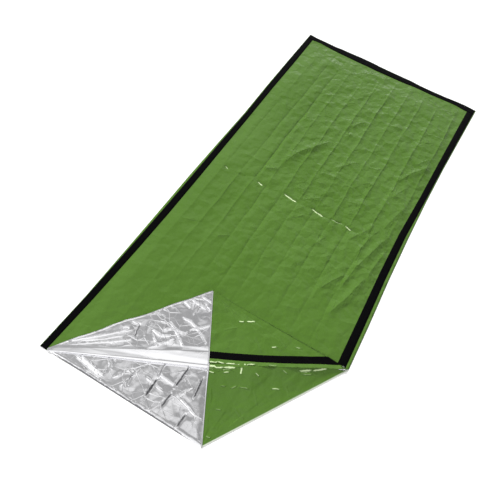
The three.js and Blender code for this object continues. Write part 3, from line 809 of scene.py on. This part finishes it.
# %% Creases of the flap: height, below zero for a dent, width, then the points
FLAP_CREASES = [
    (2.6, 8, (-182, -764), (-146, -769), (-113, -749)),
    (2.6, 8, (-147, -708), (-109, -729), (-72, -713)), (1.8, 7, (-148, -745), (-125, -725)),
    (2.6, 8, (-124, -674), (-87, -671), (-56, -681), (4, -714)),
    (2.4, 8, (-76, -702), (-53, -677), (-21, -644)), (2.4, 7, (-128, -716), (-60, -761)),
    (2.2, 8, (-165, -840), (-130, -793), (-95, -750)), (1.8, 7, (-170, -778), (-130, -806)),
    (1.6, 8, (-93, -594), (-95, -648)), (2.0, 8, (-132, -600), (-66, -605)),
    (1.6, 7, (-60, -574), (-108, -572)), (1.6, 8, (-190, -800), (-202, -742)),
    (-2.6, 8, (-226, -766), (-213, -822)), (-2.4, 7, (-264, -812), (-243, -803)),
    (-2.2, 7, (-252, -780), (-224, -777)), (-2.0, 7, (-156, -620), (-116, -631)),
    (-2.2, 7, (-82, -591), (-52, -605)),
    (2.4, 9, (-395, -967), (-321, -910), (-257, -864), (-208, -826)),
    (1.6, 8, (-380, -940), (-310, -874), (-232, -798)),
    (-1.6, 9, (-350, -925), (-290, -880), (-240, -832)),
    (1.4, 8, (-300, -905), (-244, -880), (-205, -842)),
]
print(len(FLAP_CREASES), "creases on the flap")


# %% Roll and flap
def flap_crumple(xyz, walked, along):
    """Facets and creases where the flap lies open, streaks round the roll, nothing where it is
    welded on"""
    x, y = xyz[..., 0], xyz[..., 1]
    open_air = smooth(0.2 - from_line(x, y, FLAP_TIP, SEAM_TIP) / 25)
    lying = smooth((walked - 55) / 40) * open_air
    bulk = facets(x, y, 86.0, 2.6, 21) + facets(x, y, 30.0, 0.2, 22)
    bulk += creases(x, y, FLAP_CREASES, 0.35)
    s = np.broadcast_to(along * fold_length, walked.shape)
    streak = facets(s, walked, 34.0, 1.3, 23, (0.14, 1.0)) + facets(s, walked, 15.0, 0.2, 24, (0.2, 1.0))
    round_roll = smooth(walked / 25) * (1 - smooth((walked - 95) / 60)) * smooth(s / 140)
    size = np.minimum(1.0, roll(along, RADIUS) / 5.5)
    welded = np.zeros_like(walked)
    welded[-1, -(RELIEF - TIP + 1) :] = 1.0
    return np.clip(bulk * lying + streak * round_roll * size, -1.6, 6.0) * (1 - welded)


def fold_patches():
    """Columns START to RELIEF: the roll from the fold line on, then the flap up to its far edge,
    with twice the columns where it is seen"""
    base, half = doubled(upper["xyz"][-1, START : RELIEF + 1], TIP - START)
    u = doubled(mouth_u[START : RELIEF + 1], TIP - START)[0]
    along = to_fold(base[:, 0], base[:, 1])[0]
    radius, reach, land = (roll(along, c) for c in (RADIUS, REACH, LAND))

    def place(across):
        """The base row moved across the fold line"""
        return base[:, :2] + across_axis * across[:, None]

    rows = [base]
    for angle in HALF_TURN:
        across = radius - reach - radius * math.cos(angle)
        rows.append(row_at(place(across), base[:, 2] + radius * (1 + math.sin(angle))))
    for share in BACK_STEPS:
        flat = place(mix(radius - reach, land, share))
        rows.append(row_at(flat, flap_height(*flat.T)))
    landing, split = place(land), len(rows) - 1
    edge = flap_edge(u, landing[0])
    for share in FLAP_STEPS:
        flat = mix(landing, edge, share)
        rows.append(row_at(flat, flap_height(*flat.T)))
    xyz = np.stack(rows)
    walked = path_length(xyz)
    uv = np.stack([np.broadcast_to(u, walked.shape), base[:, 1] - walked], -1)
    xyz = raised(xyz, flap_crumple(xyz, walked, along))
    taut = 1 - smooth((walked - walked[split] - 4) / 26)
    # the flap's creases as lines; dents past a strength of 1 get painted shade in the silver finish
    hard = ((0.58 * rise, *points) for rise, _, *points in FLAP_CREASES)
    curled_edge = (np.where(u < mouth_u[TIP], 1.0, 0.0), walked[-1] - walked - 2.5)
    marks = film_marks(0.0, taut, (*lines_of(xyz[..., 0], xyz[..., 1], hard), curled_edge), 8.0)
    whole = {"xyz": xyz, "uv": uv, "marks": marks}
    near = {name: grid[: split + 1, ~half] for name, grid in whole.items()}
    far = {name: grid[split:].copy() for name, grid in whole.items()}
    for name in whole:
        far[name][0, half] = far[name][0, np.flatnonzero(half) - 1]
    near["tag"] = tags[START:RELIEF]
    far["tag"] = np.concatenate([np.repeat(tags[START:TIP], 2), tags[TIP:RELIEF]])
    return near, far


rolled, folded = fold_patches()
print("roll", rolled["xyz"].shape[:2], "and flap", folded["xyz"].shape[:2], "rows and columns")

# %% [markdown]
# ## The doubled corner
#
# At the second fold the film turns over once more, in a tight bend, and its green side comes up
# again. The corner lies on the flap and ends over the roll at the taped seam. Small puckers stand
# along the seam, where the tape holds the film shorter than it is. They are lines in the marks
# alone, because they are too small for the mesh, and the strongest are painted pale as
# highlights. The cut edge curls up and lies back as a hem.

# %% Doubled corner
COVER_STEPS = np.linspace(0, 1, 61)
SEAM_START = 0.022


def turn_patch():
    """Columns TIP to RELIEF: half a turn of TURN_RADIUS about the second fold"""
    low, uv = (folded[name][-1, -(RELIEF - TIP + 1) :] for name in ("xyz", "uv"))
    rows, flats = [], []
    for angle in TIGHT_TURN:
        move = (0, TURN_RADIUS * math.cos(angle), TURN_RADIUS * (1 + math.sin(angle)))
        rows.append(low + move)
        flats.append(uv - (0, TURN_RADIUS * (angle + math.pi / 2)))
    return {"xyz": np.stack(rows), "uv": np.stack(flats), "tag": tags[TIP:RELIEF]}


# %% Puckers of the seam, painted pale as a highlight where over 1: strength, then the points
COVER_LINES = [
    (1.65, (48, -584), (66, -571)), (1.75, (70, -569), (99, -550)), (1.6, (187, -605), (207, -592)),
    (1.4, (255, -560), (280, -552)), (1.9, (36, -765), (68, -751)), (1.7, (60, -747), (92, -741)),
    (2.0, (86, -742), (120, -722)), (1.7, (112, -732), (136, -712)), (1.8, (143, -703), (151, -718)),
    (1.6, (150, -704), (176, -687)), (1.3, (205, -672), (240, -652)), (0.9, (120, -600), (170, -640)),
    (0.8, (250, -600), (300, -622)), (0.7, (20, -640), (60, -600)), (0.9, (190, -560), (235, -585)),
]
CORNER_LINES = [
    (2.0, (42, -777), (70, -762)), (1.8, (66, -770), (92, -752)), (1.9, (88, -754), (128, -732)),
    (1.6, (50, -792), (76, -783)), (1.6, (96, -768), (116, -755)), (1.9, (140, -720), (150, -744)),
    (1.5, (186, -711), (204, -717)), (1.3, (255, -655), (280, -658)), (1.75, (303, -631), (346, -600)),
    (1.8, (342, -606), (388, -567)), (1.3, (318, -634), (352, -612)), (1.2, (112, -808), (128, -799)),
    (1.3, (143, -799), (158, -781)), (1.25, (161, -781), (196, -766)), (1.5, (254, -727), (284, -714)),
    (1.25, (136, -880), (155, -871)), (1.3, (154, -964), (171, -960)), (0.8, (210, -760), (245, -800)),
    (0.8, (180, -840), (230, -860)), (0.7, (290, -690), (320, -720)), (0.8, (90, -830), (115, -870)),
]
print(len(COVER_LINES), "puckers behind the seam and", len(CORNER_LINES), "in front of it")


# %% Doubled corner of the front panel
def cover_wrinkles(x, y):
    """Low facets, none at the fold, and a few sharper ones within 20 mm of the seam"""
    from_seam = from_line(x, y, SEAM_TIP, FOLD_END)
    low = facets(x, y, 90.0, 2.2, 31) + facets(x, y, 40.0, 0.9, 32)
    low += np.maximum(facets(x, y, 17.0, 1.6, 33), 0.0) * (1 - smooth((from_seam - 8) / 12))
    return smooth(from_line(x, y, FOLD_END, FLAP_TIP) / 30) * low


def hem_rows(xyz, width):
    """Three more rows on a patch: the cut edge curls up and lies back over the sheet by width"""
    edge = xyz[-1]
    out = (xyz[-1] - xyz[-4]) * (1, 1, 0)
    out /= np.maximum(np.linalg.norm(out, axis=-1, keepdims=True), 1e-6)
    width = np.broadcast_to(width, len(edge))[:, None]
    return [edge + out * way + (0, 0, rise) for way, rise in ((0.6, 0.4), (0.3, 1.0), (-width, 1.3))]


def cover_patch():
    """Columns TIP to the edge: from the second fold over the corner to the mouth edge"""
    u, half = doubled(mouth_u[TIP:])
    past_relief = np.arange(len(u)) > 2 * (RELIEF - TIP)
    share = turn_share(u)
    start = mix(FOLD_END, FLAP_TIP, share) - (0, TURN_RADIUS)
    # past the tape the film starts on the seam itself
    start[past_relief] = mix(FOLD_END, SEAM_TIP, SEAM_START)
    mouth, rows = mix(SEAM_TIP, FLAP_TIP, share), []
    for part in COVER_STEPS:
        bow = SEAM_BOW * math.sin(math.pi * part) * (1 - share)
        flat = mix(start, mouth, part) - across_axis * bow
        rows.append(row_at(flat, cover_height(*flat.T) + cover_wrinkles(*flat.T)))
    rows[0][~past_relief & ~half] = turned["xyz"][-1]
    rows[0][half] = rows[0][np.flatnonzero(half) - 1]
    xyz = np.stack(rows + hem_rows(np.stack(rows), HEM))
    marks = film_marks(0.0, 0.45, lines_of(xyz[..., 0], xyz[..., 1], COVER_LINES), 9.0)
    return {"xyz": xyz, "uv": xyz[..., :2], "tag": np.repeat(tags[TIP:], 2), "marks": marks}


turned = turn_patch()
cover = cover_patch()
front_sheet = Sheet([upper, rolled, folded, turned, cover])
print("front panel:", round(front_sheet.area(), 3), "square metres of film")

# %% [markdown]
# ## Back panel
#
# The back panel lies flat on the floor, bright side up. Inside the open mouth it shows as a
# triangle of crumpled silver with dark lengthwise creases, whose deepest dents get painted shade.
# Its rows run straight across, and the last ones end on the fold of its right corner.

# %% Back panel on the floor: creases as for the flap
BACK_CREASES = [
    (-3.4, 8, (-72, -888), (-72, -964)), (-2.5, 9, (-79, -815), (-75, -886)),
    (-3.2, 8, (-6, -796), (-10, -896)), (-3.0, 7, (-7, -904), (-11, -966)),
    (-3.0, 7, (67, -935), (64, -992)), (-3.1, 8, (50, -806), (61, -892)),
    (2.4, 8, (-84, -877), (-4, -882)), (2.2, 8, (-192, -964), (-160, -908)),
    (1.8, 8, (-133, -886), (-158, -980)), (-2.4, 7, (-149, -910), (-141, -968)),
    (-2.0, 6, (-336, -968), (-270, -977), (-222, -986)), (2.8, 6, (-324, -958), (-216, -975)),
    (-1.9, 7, (-289, -928), (-279, -964)), (1.8, 8, (-262, -905), (-206, -946)),
    (1.8, 8, (3, -922), (44, -858)), (-1.8, 8, (118, -790), (122, -880)),
    (1.6, 8, (-110, -905), (-30, -918)), (1.8, 8, (20, -905), (100, -930)),
    (-1.8, 8, (-219, -905), (-224, -965)),
]

# painted shade: a dark line along the mouth's cut edge
MOUTH_EDGE_SHADE = (-2.0, (-446, -998.5), (158, -998.5))
FLOOR_ROWS, FLOOR_COLUMNS = 50, 151
print(len(BACK_CREASES), "creases inside the mouth")


def back_wrinkles(x, y):
    """Facets and creases inside the mouth, none under the closed panel or at the borders, and a
    low ridge beside the mouth edge"""
    open_air = smooth(0.2 + from_line(x, y, BACK_TIP, SEAM_TIP) / 25)
    from_seam_tip = np.hypot(x - SEAM_TIP[0], y - SEAM_TIP[1])
    shown = smooth(-(to_fold(x, y)[1] + 6) / 46) * open_air * smooth((from_seam_tip - 15) / 40)
    to_corner = from_line(x, y, BACK_TIP, BACK_CORNER)
    height = facets(x, y, 70.0, 2.8, 41) + facets(x, y, 27.0, 0.4, 42)
    height += creases(x, y, BACK_CREASES, 0.6)
    height = np.maximum(height + 2.0, 0.0) * smooth((y + HALF_LENGTH) / 16)
    under_roll = smooth(1 - np.abs(to_fold(x, y)[1]) / 60) * open_air
    under_roll *= 0.6 * (upper_height(x, y) - SEAM_Z)
    lip = 2.4 * np.clip(1 - np.abs(y + HALF_LENGTH - 7.5) / 6.5, 0, 1) ** 1.3
    lip *= smooth((x + 440) / 60)
    return (height * shown + lip + under_roll) * smooth(to_corner / 16)


def floor_patch(start):
    """The flat part: full rows down to the corner's fold, then rows that end on it"""
    lengths = np.linspace(HALF_LENGTH, start[0, 1], FLOOR_ROWS)[:-1]
    lengths = np.concatenate([lengths, start[:, 1]])
    left = np.stack([side(lengths, LEFT) - HALF_WIDTH, lengths], 1)
    right = np.stack([HALF_WIDTH - side(lengths, RIGHT), lengths], 1)
    right[-len(start) :] = start
    share = np.linspace(0, 1, FLOOR_COLUMNS)[None, :, None]
    flat = mix(left[:, None], right[:, None], share)
    flat[..., 1] += foot_drift(flat[..., 0], flat[..., 1])
    x, y = flat[..., 0], flat[..., 1]
    z = BACK_Z + back_wrinkles(x, y)
    z[:, -1] = BACK_Z
    # the creases as lines; dents past a strength of 1 get painted shade in the silver finish
    hard = [(rise / (2.4 if rise > 0 else 1.8), *points) for rise, _, *points in BACK_CREASES]
    hard.append(MOUTH_EDGE_SHADE)
    marks = film_marks(0.0, 0.0, lines_of(x, y, hard), 8.0)
    return {"xyz": np.dstack([x, y, z]), "uv": flat, "tag": TAG_FILM, "marks": marks}


# %% [markdown]
# ## The back panel's turned corner
#
# The corner is turned over with the front panel's one, so there the green side is up. It makes
# half a turn about its own fold, which gets a painted pale highlight, and climbs to the seam on
# the roll.

# %% The back panel's turned corner
# shares of its fold from the tip to the right side, closer together at the end, and how many rows
# have the green finish on both sides
CORNER_SHARES = np.concatenate([np.linspace(1, 0.036, 108), np.linspace(0.036, 0, 12)[1:]])
RIM_ROWS = 14


def corner_wrinkles(x, y):
    """Low facets between the fold and the seam"""
    off_fold = np.abs(from_line(x, y, BACK_CORNER, BACK_TIP))
    low = facets(x, y, 80.0, 2.4, 51) + facets(x, y, 34.0, 0.5, 52)
    return low * smooth(off_fold / 30) * smooth((1 - to_fold(x, y)[1]) / 16)


def corner_patch():
    """The turned corner: half a turn about its fold, then up to the seam and the mouth edge"""
    share = CORNER_SHARES[:, None]
    run = (BACK_TIP - BACK_CORNER) / np.linalg.norm(BACK_TIP - BACK_CORNER)
    inward = np.array([run[1], -run[0]])
    start = mix(BACK_CORNER, BACK_TIP, share) + inward * TURN_RADIUS
    rows = []
    for angle in TIGHT_TURN:
        flat = start - inward * TURN_RADIUS * math.cos(angle)
        rows.append(row_at(flat, BACK_Z + TURN_RADIUS * (1 + math.sin(angle))))
    mouth = mix(SEAM_TIP, BACK_TIP, share)
    # beside its fold the film ends 2.5 mm short of the front panel's, then reaches 12 mm under it
    for part in COVER_STEPS[1:]:
        under = smooth((part - 0.03) / 0.14)
        short = 2.5 * smooth(part / 0.03) * (1 - under)
        shift = (12 * under - short - SEAM_BOW * math.sin(math.pi * part)) * (1 - share)
        flat = mix(start, mouth, part) + across_axis * shift
        rows.append(row_at(flat, back_cover_height(*flat.T) + corner_wrinkles(*flat.T)))
    hem = mix(HEM_AT_TIP, HEM, np.clip(share[:, 0] * 3, 0, 1))
    xyz = np.stack(rows + hem_rows(np.stack(rows), hem))
    tag = np.full((len(xyz) - 1, len(share) - 1), TAG_FILM)
    tag[:RIM_ROWS] = TAG_RIM
    from_fold = np.abs(from_line(xyz[..., 0], xyz[..., 1], BACK_CORNER, BACK_TIP))
    # painted highlight: the fold's rim is painted pale within about 5 mm of it
    rim_highlight = 1 - smooth((from_fold - 1.5) / 3.5)
    marks = film_marks(rim_highlight, 0.7, lines_of(xyz[..., 0], xyz[..., 1], CORNER_LINES), 11.0)
    return {"xyz": xyz, "uv": xyz[..., :2], "tag": tag, "marks": marks}


corner = corner_patch()
back_sheet = Sheet([floor_patch(corner["xyz"][0][::-1, :2]), corner])
print("back panel:", round(back_sheet.area(), 3), "square metres of film")

# %% [markdown]
# ## Shader fields
#
# A material is a tree of nodes, which soon grows long. Here a field stands for one output in the
# tree, and sums and products of fields add the Math nodes, so that the recipes of the finishes
# read like formulas.

# %% Shader fields
class Field:
    """One output of a node. The signs + - * /, abs and the two limits add a Math node."""

    def __init__(self, socket):
        self.socket, self.tree = socket, socket.id_data

    def combine(self, operation, *values):
        """One Math node with the given values"""
        return add_node(self.tree, "Math", dict(enumerate(values)), operation=operation)

    def __add__(self, other):
        return self.combine("ADD", self, other)

    def __sub__(self, other):
        return self.combine("SUBTRACT", self, other)

    def __rsub__(self, other):
        return self.combine("SUBTRACT", other, self)

    def __mul__(self, other):
        return self.combine("MULTIPLY", self, other)

    def __truediv__(self, other):
        return self.combine("DIVIDE", self, other)

    def __abs__(self):
        return self.combine("ABSOLUTE", self)

    def held(self, low, high):
        """The field held between low and high"""
        return self.combine("MINIMUM", self.combine("MAXIMUM", self, low), high)


def put(value, socket):
    """Links a field to a socket, or sets a plain value on it"""
    if isinstance(value, Field):
        value.tree.links.new(value.socket, socket)
    else:
        socket.default_value = value


def add_node(tree, kind, sockets, output=0, **settings):
    """One node with its settings and sockets, and the field of one of its outputs"""
    node = tree.nodes.new("ShaderNode" + kind)
    for key, value in settings.items():
        setattr(node, key, value)
    for key, value in sockets.items():
        put(value, node.inputs[key])
    return Field(node.outputs[output])


def parts_of(field):
    """The x, y and z of a vector"""
    node = field.tree.nodes.new("ShaderNodeSeparateXYZ")
    put(field, node.inputs[0])
    return [Field(output) for output in node.outputs]


def spread(field, low, high, first=0.25, last=0.75):
    """The field's first to last spread over low to high, and held there"""
    sockets = {"Value": field, "From Min": first, "From Max": last, "To Min": low, "To Max": high}
    return add_node(field.tree, "MapRange", sockets)


def blend(share, first, second):
    """Colour mixed from first to second"""
    first, second = (c if isinstance(c, Field) else (*c, 1.0) for c in (first, second))
    sockets = {"Factor": share, 6: first, 7: second}
    return add_node(share.tree, "Mix", sockets, 2, data_type="RGBA")


def new_material(name):
    """A material with its Principled shader, and the flat coordinates of the film in metres"""
    material = bpy.data.materials.new(name)
    material.use_nodes = True
    tree = material.node_tree
    return material, tree.nodes["Principled BSDF"], add_node(tree, "UVMap", {}, uv_map="flat")


def set_shader(shader, sockets):
    """Sets or links each named socket of the shader"""
    for key, value in sockets.items():
        put(value, shader.inputs[key])


def add_bump(shader, *layers):
    """Chains bump nodes: each layer is a height and how many metres a height of 1 stands for"""
    sockets = {}
    for height, metres in layers:
        sockets.update({"Height": height, "Distance": metres, "Strength": 1.0})
        sockets["Normal"] = add_node(height.tree, "Bump", sockets)
    put(sockets["Normal"], shader.inputs["Normal"])


# %% [markdown]
# ## Patterns of the film
#
# Two patterns make the relief that is too fine for the mesh. Crinkles are the small facets of
# crumpled film. Ridges are the straight sharp folds between them, which show in the foil only.
# The hard lines come from the marks that each point of the sheet carries. Lengths are in metres
# here, except how far a line is, which is in millimetres.

# %% Patterns of the film
def noise(at, scale, detail=3.0, rough=0.5):
    """Soft noise with about one lump every 1 / scale metres"""
    sockets = {"Vector": at, "Scale": scale, "Detail": detail, "Roughness": rough}
    return add_node(at.tree, "TexNoise", sockets, "Fac")


def cells(at, scale, feature="F1"):
    """Distances in a pattern of 1 / scale metre cells"""
    sockets = {"Vector": at, "Scale": scale}
    return add_node(at.tree, "TexVoronoi", sockets, "Distance", feature=feature)


def film_crinkle(at, scale):
    """Crumpled facets about 1 / scale metres wide: the difference of the squares of two cell
    patterns' distances, in which the curved parts cancel and planes stay"""
    moved = add_node(at.tree, "VectorMath", {0: at, 1: (3.1, 1.7, 0.0)}, operation="ADD")
    first, second = (cells(place, scale) for place in (at, moved))
    return first * first - second * second


def hard_ridges(at, scale):
    """Straight sharp ridges between cells 1 / scale metres wide: 1 - d / w near an edge and 0
    elsewhere. The width w comes and goes with a slow noise, so that only some edges show."""
    width = spread(noise(at, 11.0, 1.0), -0.03, 0.05)
    return ((width - cells(at, scale, "DISTANCE_TO_EDGE")) / 0.05).held(0.0, 1.0)


def read_marks(flat):
    """The film's four marks: a painted pale highlight, taut, and the strength and distance of the
    nearest line, which a fine noise lets wander by 1.5 mm"""
    marks = add_node(flat.tree, "Attribute", {}, "Vector", attribute_name="marks")
    off_line = add_node(flat.tree, "Attribute", {}, "Fac", attribute_name="off_line")
    wander = spread(noise(flat, 70.0), -3.5, 3.5, 0.0, 1.0)
    return *parts_of(marks), abs(off_line + wander)


def line_height(strength, off_line, width):
    """The strength, held between -1 and 1, times 1 on a line and 0 from width mm beside it"""
    return strength.held(-1.0, 1.0) * (1.0 - off_line / width).held(0.0, 1.0)


def beyond_one(strength, off_line, width):
    """What the strength has over 1, less distance / width, so that a line thins to its ends"""
    return ((strength - 1.0 - off_line / width) * 1.8).held(0.0, 1.0)


# %% [markdown]
# ## Finishes
#
# Both sides of the film are one thin plastic. The green side is dyed and shines like a bin bag,
# with fine crinkles in its gloss, and its hardest folds get painted pale highlights. The silver
# side has a layer of aluminium, so it is a mirror bent by every small fold, and its hardest dents
# get painted shade. The tape is black cloth tape with a fine weave.

# %% Green side
def green_film():
    """Green film: crinkled where it is slack, with a crisp bump along each crease"""
    material, shader, flat = new_material("green_film")
    rim_highlight, taut, strength, off_line = read_marks(flat)
    dye = blend(spread(noise(flat, 3.0), 0.0, 1.0), (0.061, 0.137, 0.0135), (0.074, 0.156, 0.0215))
    # painted highlight: where a line's strength is past 1 the dye turns pale, for the glint of a hard
    # fold
    dye_with_glints = blend(beyond_one(abs(strength), off_line, 4.0), dye, (0.58, 0.71, 0.40))
    set_shader(shader, {
        # painted highlight: the corner's fold rim is painted pale as well
        "Base Color": blend(rim_highlight, dye_with_glints, (0.55, 0.59, 0.50)),
        "Roughness": spread(noise(flat, 24.0), 0.20, 0.32),
        "IOR": 1.5,
        "Specular IOR Level": 0.28,
    })
    slack = 1.0 - taut
    add_bump(
        shader,
        (slack * film_crinkle(flat, 30.0), 0.0034),
        (slack * film_crinkle(flat, 62.0), 0.0010),
        (line_height(strength, off_line, 5.0), 0.0013),
        (noise(flat, 160.0), 0.00008),
    )
    return material


# %% Silver side
def silver_film():
    """Aluminium on film: all its relief fades where it is taut, as on the roll"""
    material, shader, flat = new_material("silver_film")
    _, taut, strength, off_line = read_marks(flat)
    metal = blend(spread(noise(flat, 5.0), 0.0, 1.0), (0.80, 0.80, 0.82), (0.90, 0.90, 0.91))
    # painted shade: the deepest dents and the mouth edge's line turn dark grey
    crease_shade = beyond_one(strength * -1.0, off_line, 5.5)
    set_shader(shader, {
        "Base Color": blend(crease_shade, metal, (0.16, 0.16, 0.17)),
        "Metallic": 1.0,
        "Roughness": spread(noise(flat, 40.0), 0.06, 0.15),
    })
    slack = 1.0 - taut * 0.9
    relief = (
        (film_crinkle(flat, 17.0), 0.0012),
        (film_crinkle(flat, 40.0), 0.0004),
        (hard_ridges(flat, 13.0), 0.0009),
        (hard_ridges(flat, 24.0), 0.0006),
        (line_height(strength, off_line, 4.5), 0.0013),
    )
    add_bump(shader, *((slack * height, metres) for height, metres in relief))
    return material


# %% Black tape
def black_tape():
    """Cloth tape: a weave of fine waves, and soft dents where it follows the film"""
    material, shader, flat = new_material("black_tape")
    sockets = {"Vector": flat, "Scale": 420.0, "Distortion": 1.0}
    weave = add_node(flat.tree, "TexWave", sockets, "Fac")
    speck = spread(noise(flat, 300.0, 2.0, 0.8), -1.0, 1.0)
    set_shader(shader, {
        "Base Color": blend(speck, (0.0008, 0.0008, 0.001), (0.004, 0.0036, 0.0046)),
        "Roughness": spread(noise(flat, 60.0), 0.5, 0.68),
        "Specular IOR Level": 0.05,
    })
    add_bump(shader, (weave, 0.00008), (noise(flat, 90.0), 0.0008))
    return material


green, silver, black = green_film(), silver_film(), black_tape()
print("materials:", *(material.name for material in (green, silver, black)))

# %% [markdown]
# ## The pieces
#
# The film is 0.3 mm thick here, near enough to the real 0.04 mm at this size, and the tapes are
# 0.4 mm. The tapes use the front panel's own triangles, lifted off it, so they bend with it. Each
# piece hides the frame's node that it stands for and hangs from the root.

# %% Pieces
FILM, TAPE, TAPE_LIFT = 0.3, 0.4, 0.5

back_panel = back_sheet.build("back_film", FILM, [silver, green])
front_panel = front_sheet.build("front_film", FILM, [green, silver], edge=0)
left_tape = front_sheet.build("left_side_tape", TAPE, [black], keep=[TAG_LEFT], lift=TAPE_LIFT)
foot_tape = front_sheet.build("foot_end_tape", TAPE, [black], keep=[TAG_FOOT], lift=TAPE_LIFT)
right_tape = front_sheet.build("right_side_tape", TAPE, [black], keep=[TAG_RIGHT], lift=TAPE_LIFT)

for piece, node, slot in (
    (back_panel, "back_panel", "film"),
    (front_panel, "front_panel", "film"),
    (left_tape, "left_tape", "tape"),
    (foot_tape, "foot_tape", "tape"),
    (right_tape, "right_tape", "tape"),
):
    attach(piece, "root")
    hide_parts(node)

# %% [markdown]
# ## Floor and light
#
# The floor is pale, and most of the light comes from all around, as in a studio with white walls.
# A soft sun from the left shades the wrinkles of the green film. The silver film shows whatever
# is above it, so the sky isn't even: it is bright at the top and in a band about 42 degrees up,
# and grey in the ring between them and at both sides, which gives each facet its own grey. A strip
# lamp behind the foot end adds glints.

# %% Floor
def make_floor():
    """A flat square 12 m wide at z = 0"""
    mesh = bpy.data.meshes.new("floor")
    mesh.from_pydata([(-6, -6, 0), (6, -6, 0), (6, 6, 0), (-6, 6, 0)], [], [(0, 1, 2, 3)])
    material, shader, _ = new_material("pale_floor")
    set_shader(shader, {
        "Base Color": (0.93, 0.925, 0.93, 1.0), "Roughness": 0.9, "Specular IOR Level": 0.1,
    })
    mesh.materials.append(material)
    floor = bpy.data.objects.new("floor", mesh)
    bpy.context.scene.collection.objects.link(floor)


make_floor()

# %% Lamps
def add_lamp(name, kind, toward, place, **settings):
    """A lamp at place that shines away from the direction toward"""
    data = bpy.data.lights.new(name, kind)
    for key, value in settings.items():
        setattr(data, key, value)
    lamp = bpy.data.objects.new(name, data)
    turn = Vector(toward).to_track_quat("Z", "Y")
    lamp.matrix_world = Matrix.Translation(place) @ turn.to_matrix().to_4x4()
    bpy.context.scene.collection.objects.link(lamp)
    return lamp


# the sun shades the film but isn't mirrored in it, and the strip shows as glints alone
BACK_AT = (-1.12, 4.87, 0.50)
key = add_lamp("key", "SUN", (-0.68, 0.56, 0.47), (0, 0, 0), angle=math.radians(6.0), energy=4.2)
key.visible_glossy = False
back = add_lamp("back", "AREA", BACK_AT, BACK_AT, shape="RECTANGLE", size=1.9, size_y=0.5, energy=4)
back.visible_diffuse = False
print("lamps:", key.name, back.name)

# %% Sky
# brightness over the height z of a direction, and over its share (x + 1) / 2
SKY = (
    (0.0, 0.8), (0.45, 0.80), (0.61, 0.75), (0.67, 1.08), (0.76, 0.90), (0.84, 0.44), (0.93, 0.40),
    (1.0, 1.1),
)
ACROSS = (
    (0.0, 0.45), (0.09, 0.45), (0.23, 0.95), (0.31, 1.30), (0.40, 1.0), (0.72, 1.0), (0.91, 0.45),
    (1.0, 0.45),
)
FRONT = (1.25, 1.25, 1.25)


def grey_ramp(field, stops):
    """Greys read between stops, each a place from 0 to 1 and a brightness"""
    node = field.tree.nodes.new("ShaderNodeValToRGB")
    put(field, node.inputs[0])
    elements = node.color_ramp.elements
    for _ in stops[2:]:
        elements.new(0.5)
    for element, (place, _) in zip(elements, stops):
        element.position = place
    for element, (_, grey) in zip(elements, stops):
        element.color = (grey, grey, grey, 1.0)
    return Field(node.outputs[0])


def studio_sky():
    """World light by the direction (x, y, z): the product of a ramp over the height z, a ramp
    over x and a soft noise. In front, where y is below 0, the ramp over z turns to white."""
    world = bpy.data.worlds.new("studio")
    bpy.context.scene.world = world
    world.use_nodes = True
    tree = world.node_tree
    at = add_node(tree, "TexCoord", {}, "Generated")
    x, y, z = parts_of(at)
    in_front = spread(y, 0.0, 1.0, 0.05, -0.25)
    fields = spread(noise(at, 3.0, 1.0), 0.78, 1.18)
    background = tree.nodes["Background"]
    put(blend(in_front, grey_ramp(z, SKY), FRONT), background.inputs["Color"])
    put(grey_ramp((x + 1.0) * 0.5, ACROSS) * fields, background.inputs["Strength"])


studio_sky()
bpy.context.scene.view_settings.view_transform = "Standard"
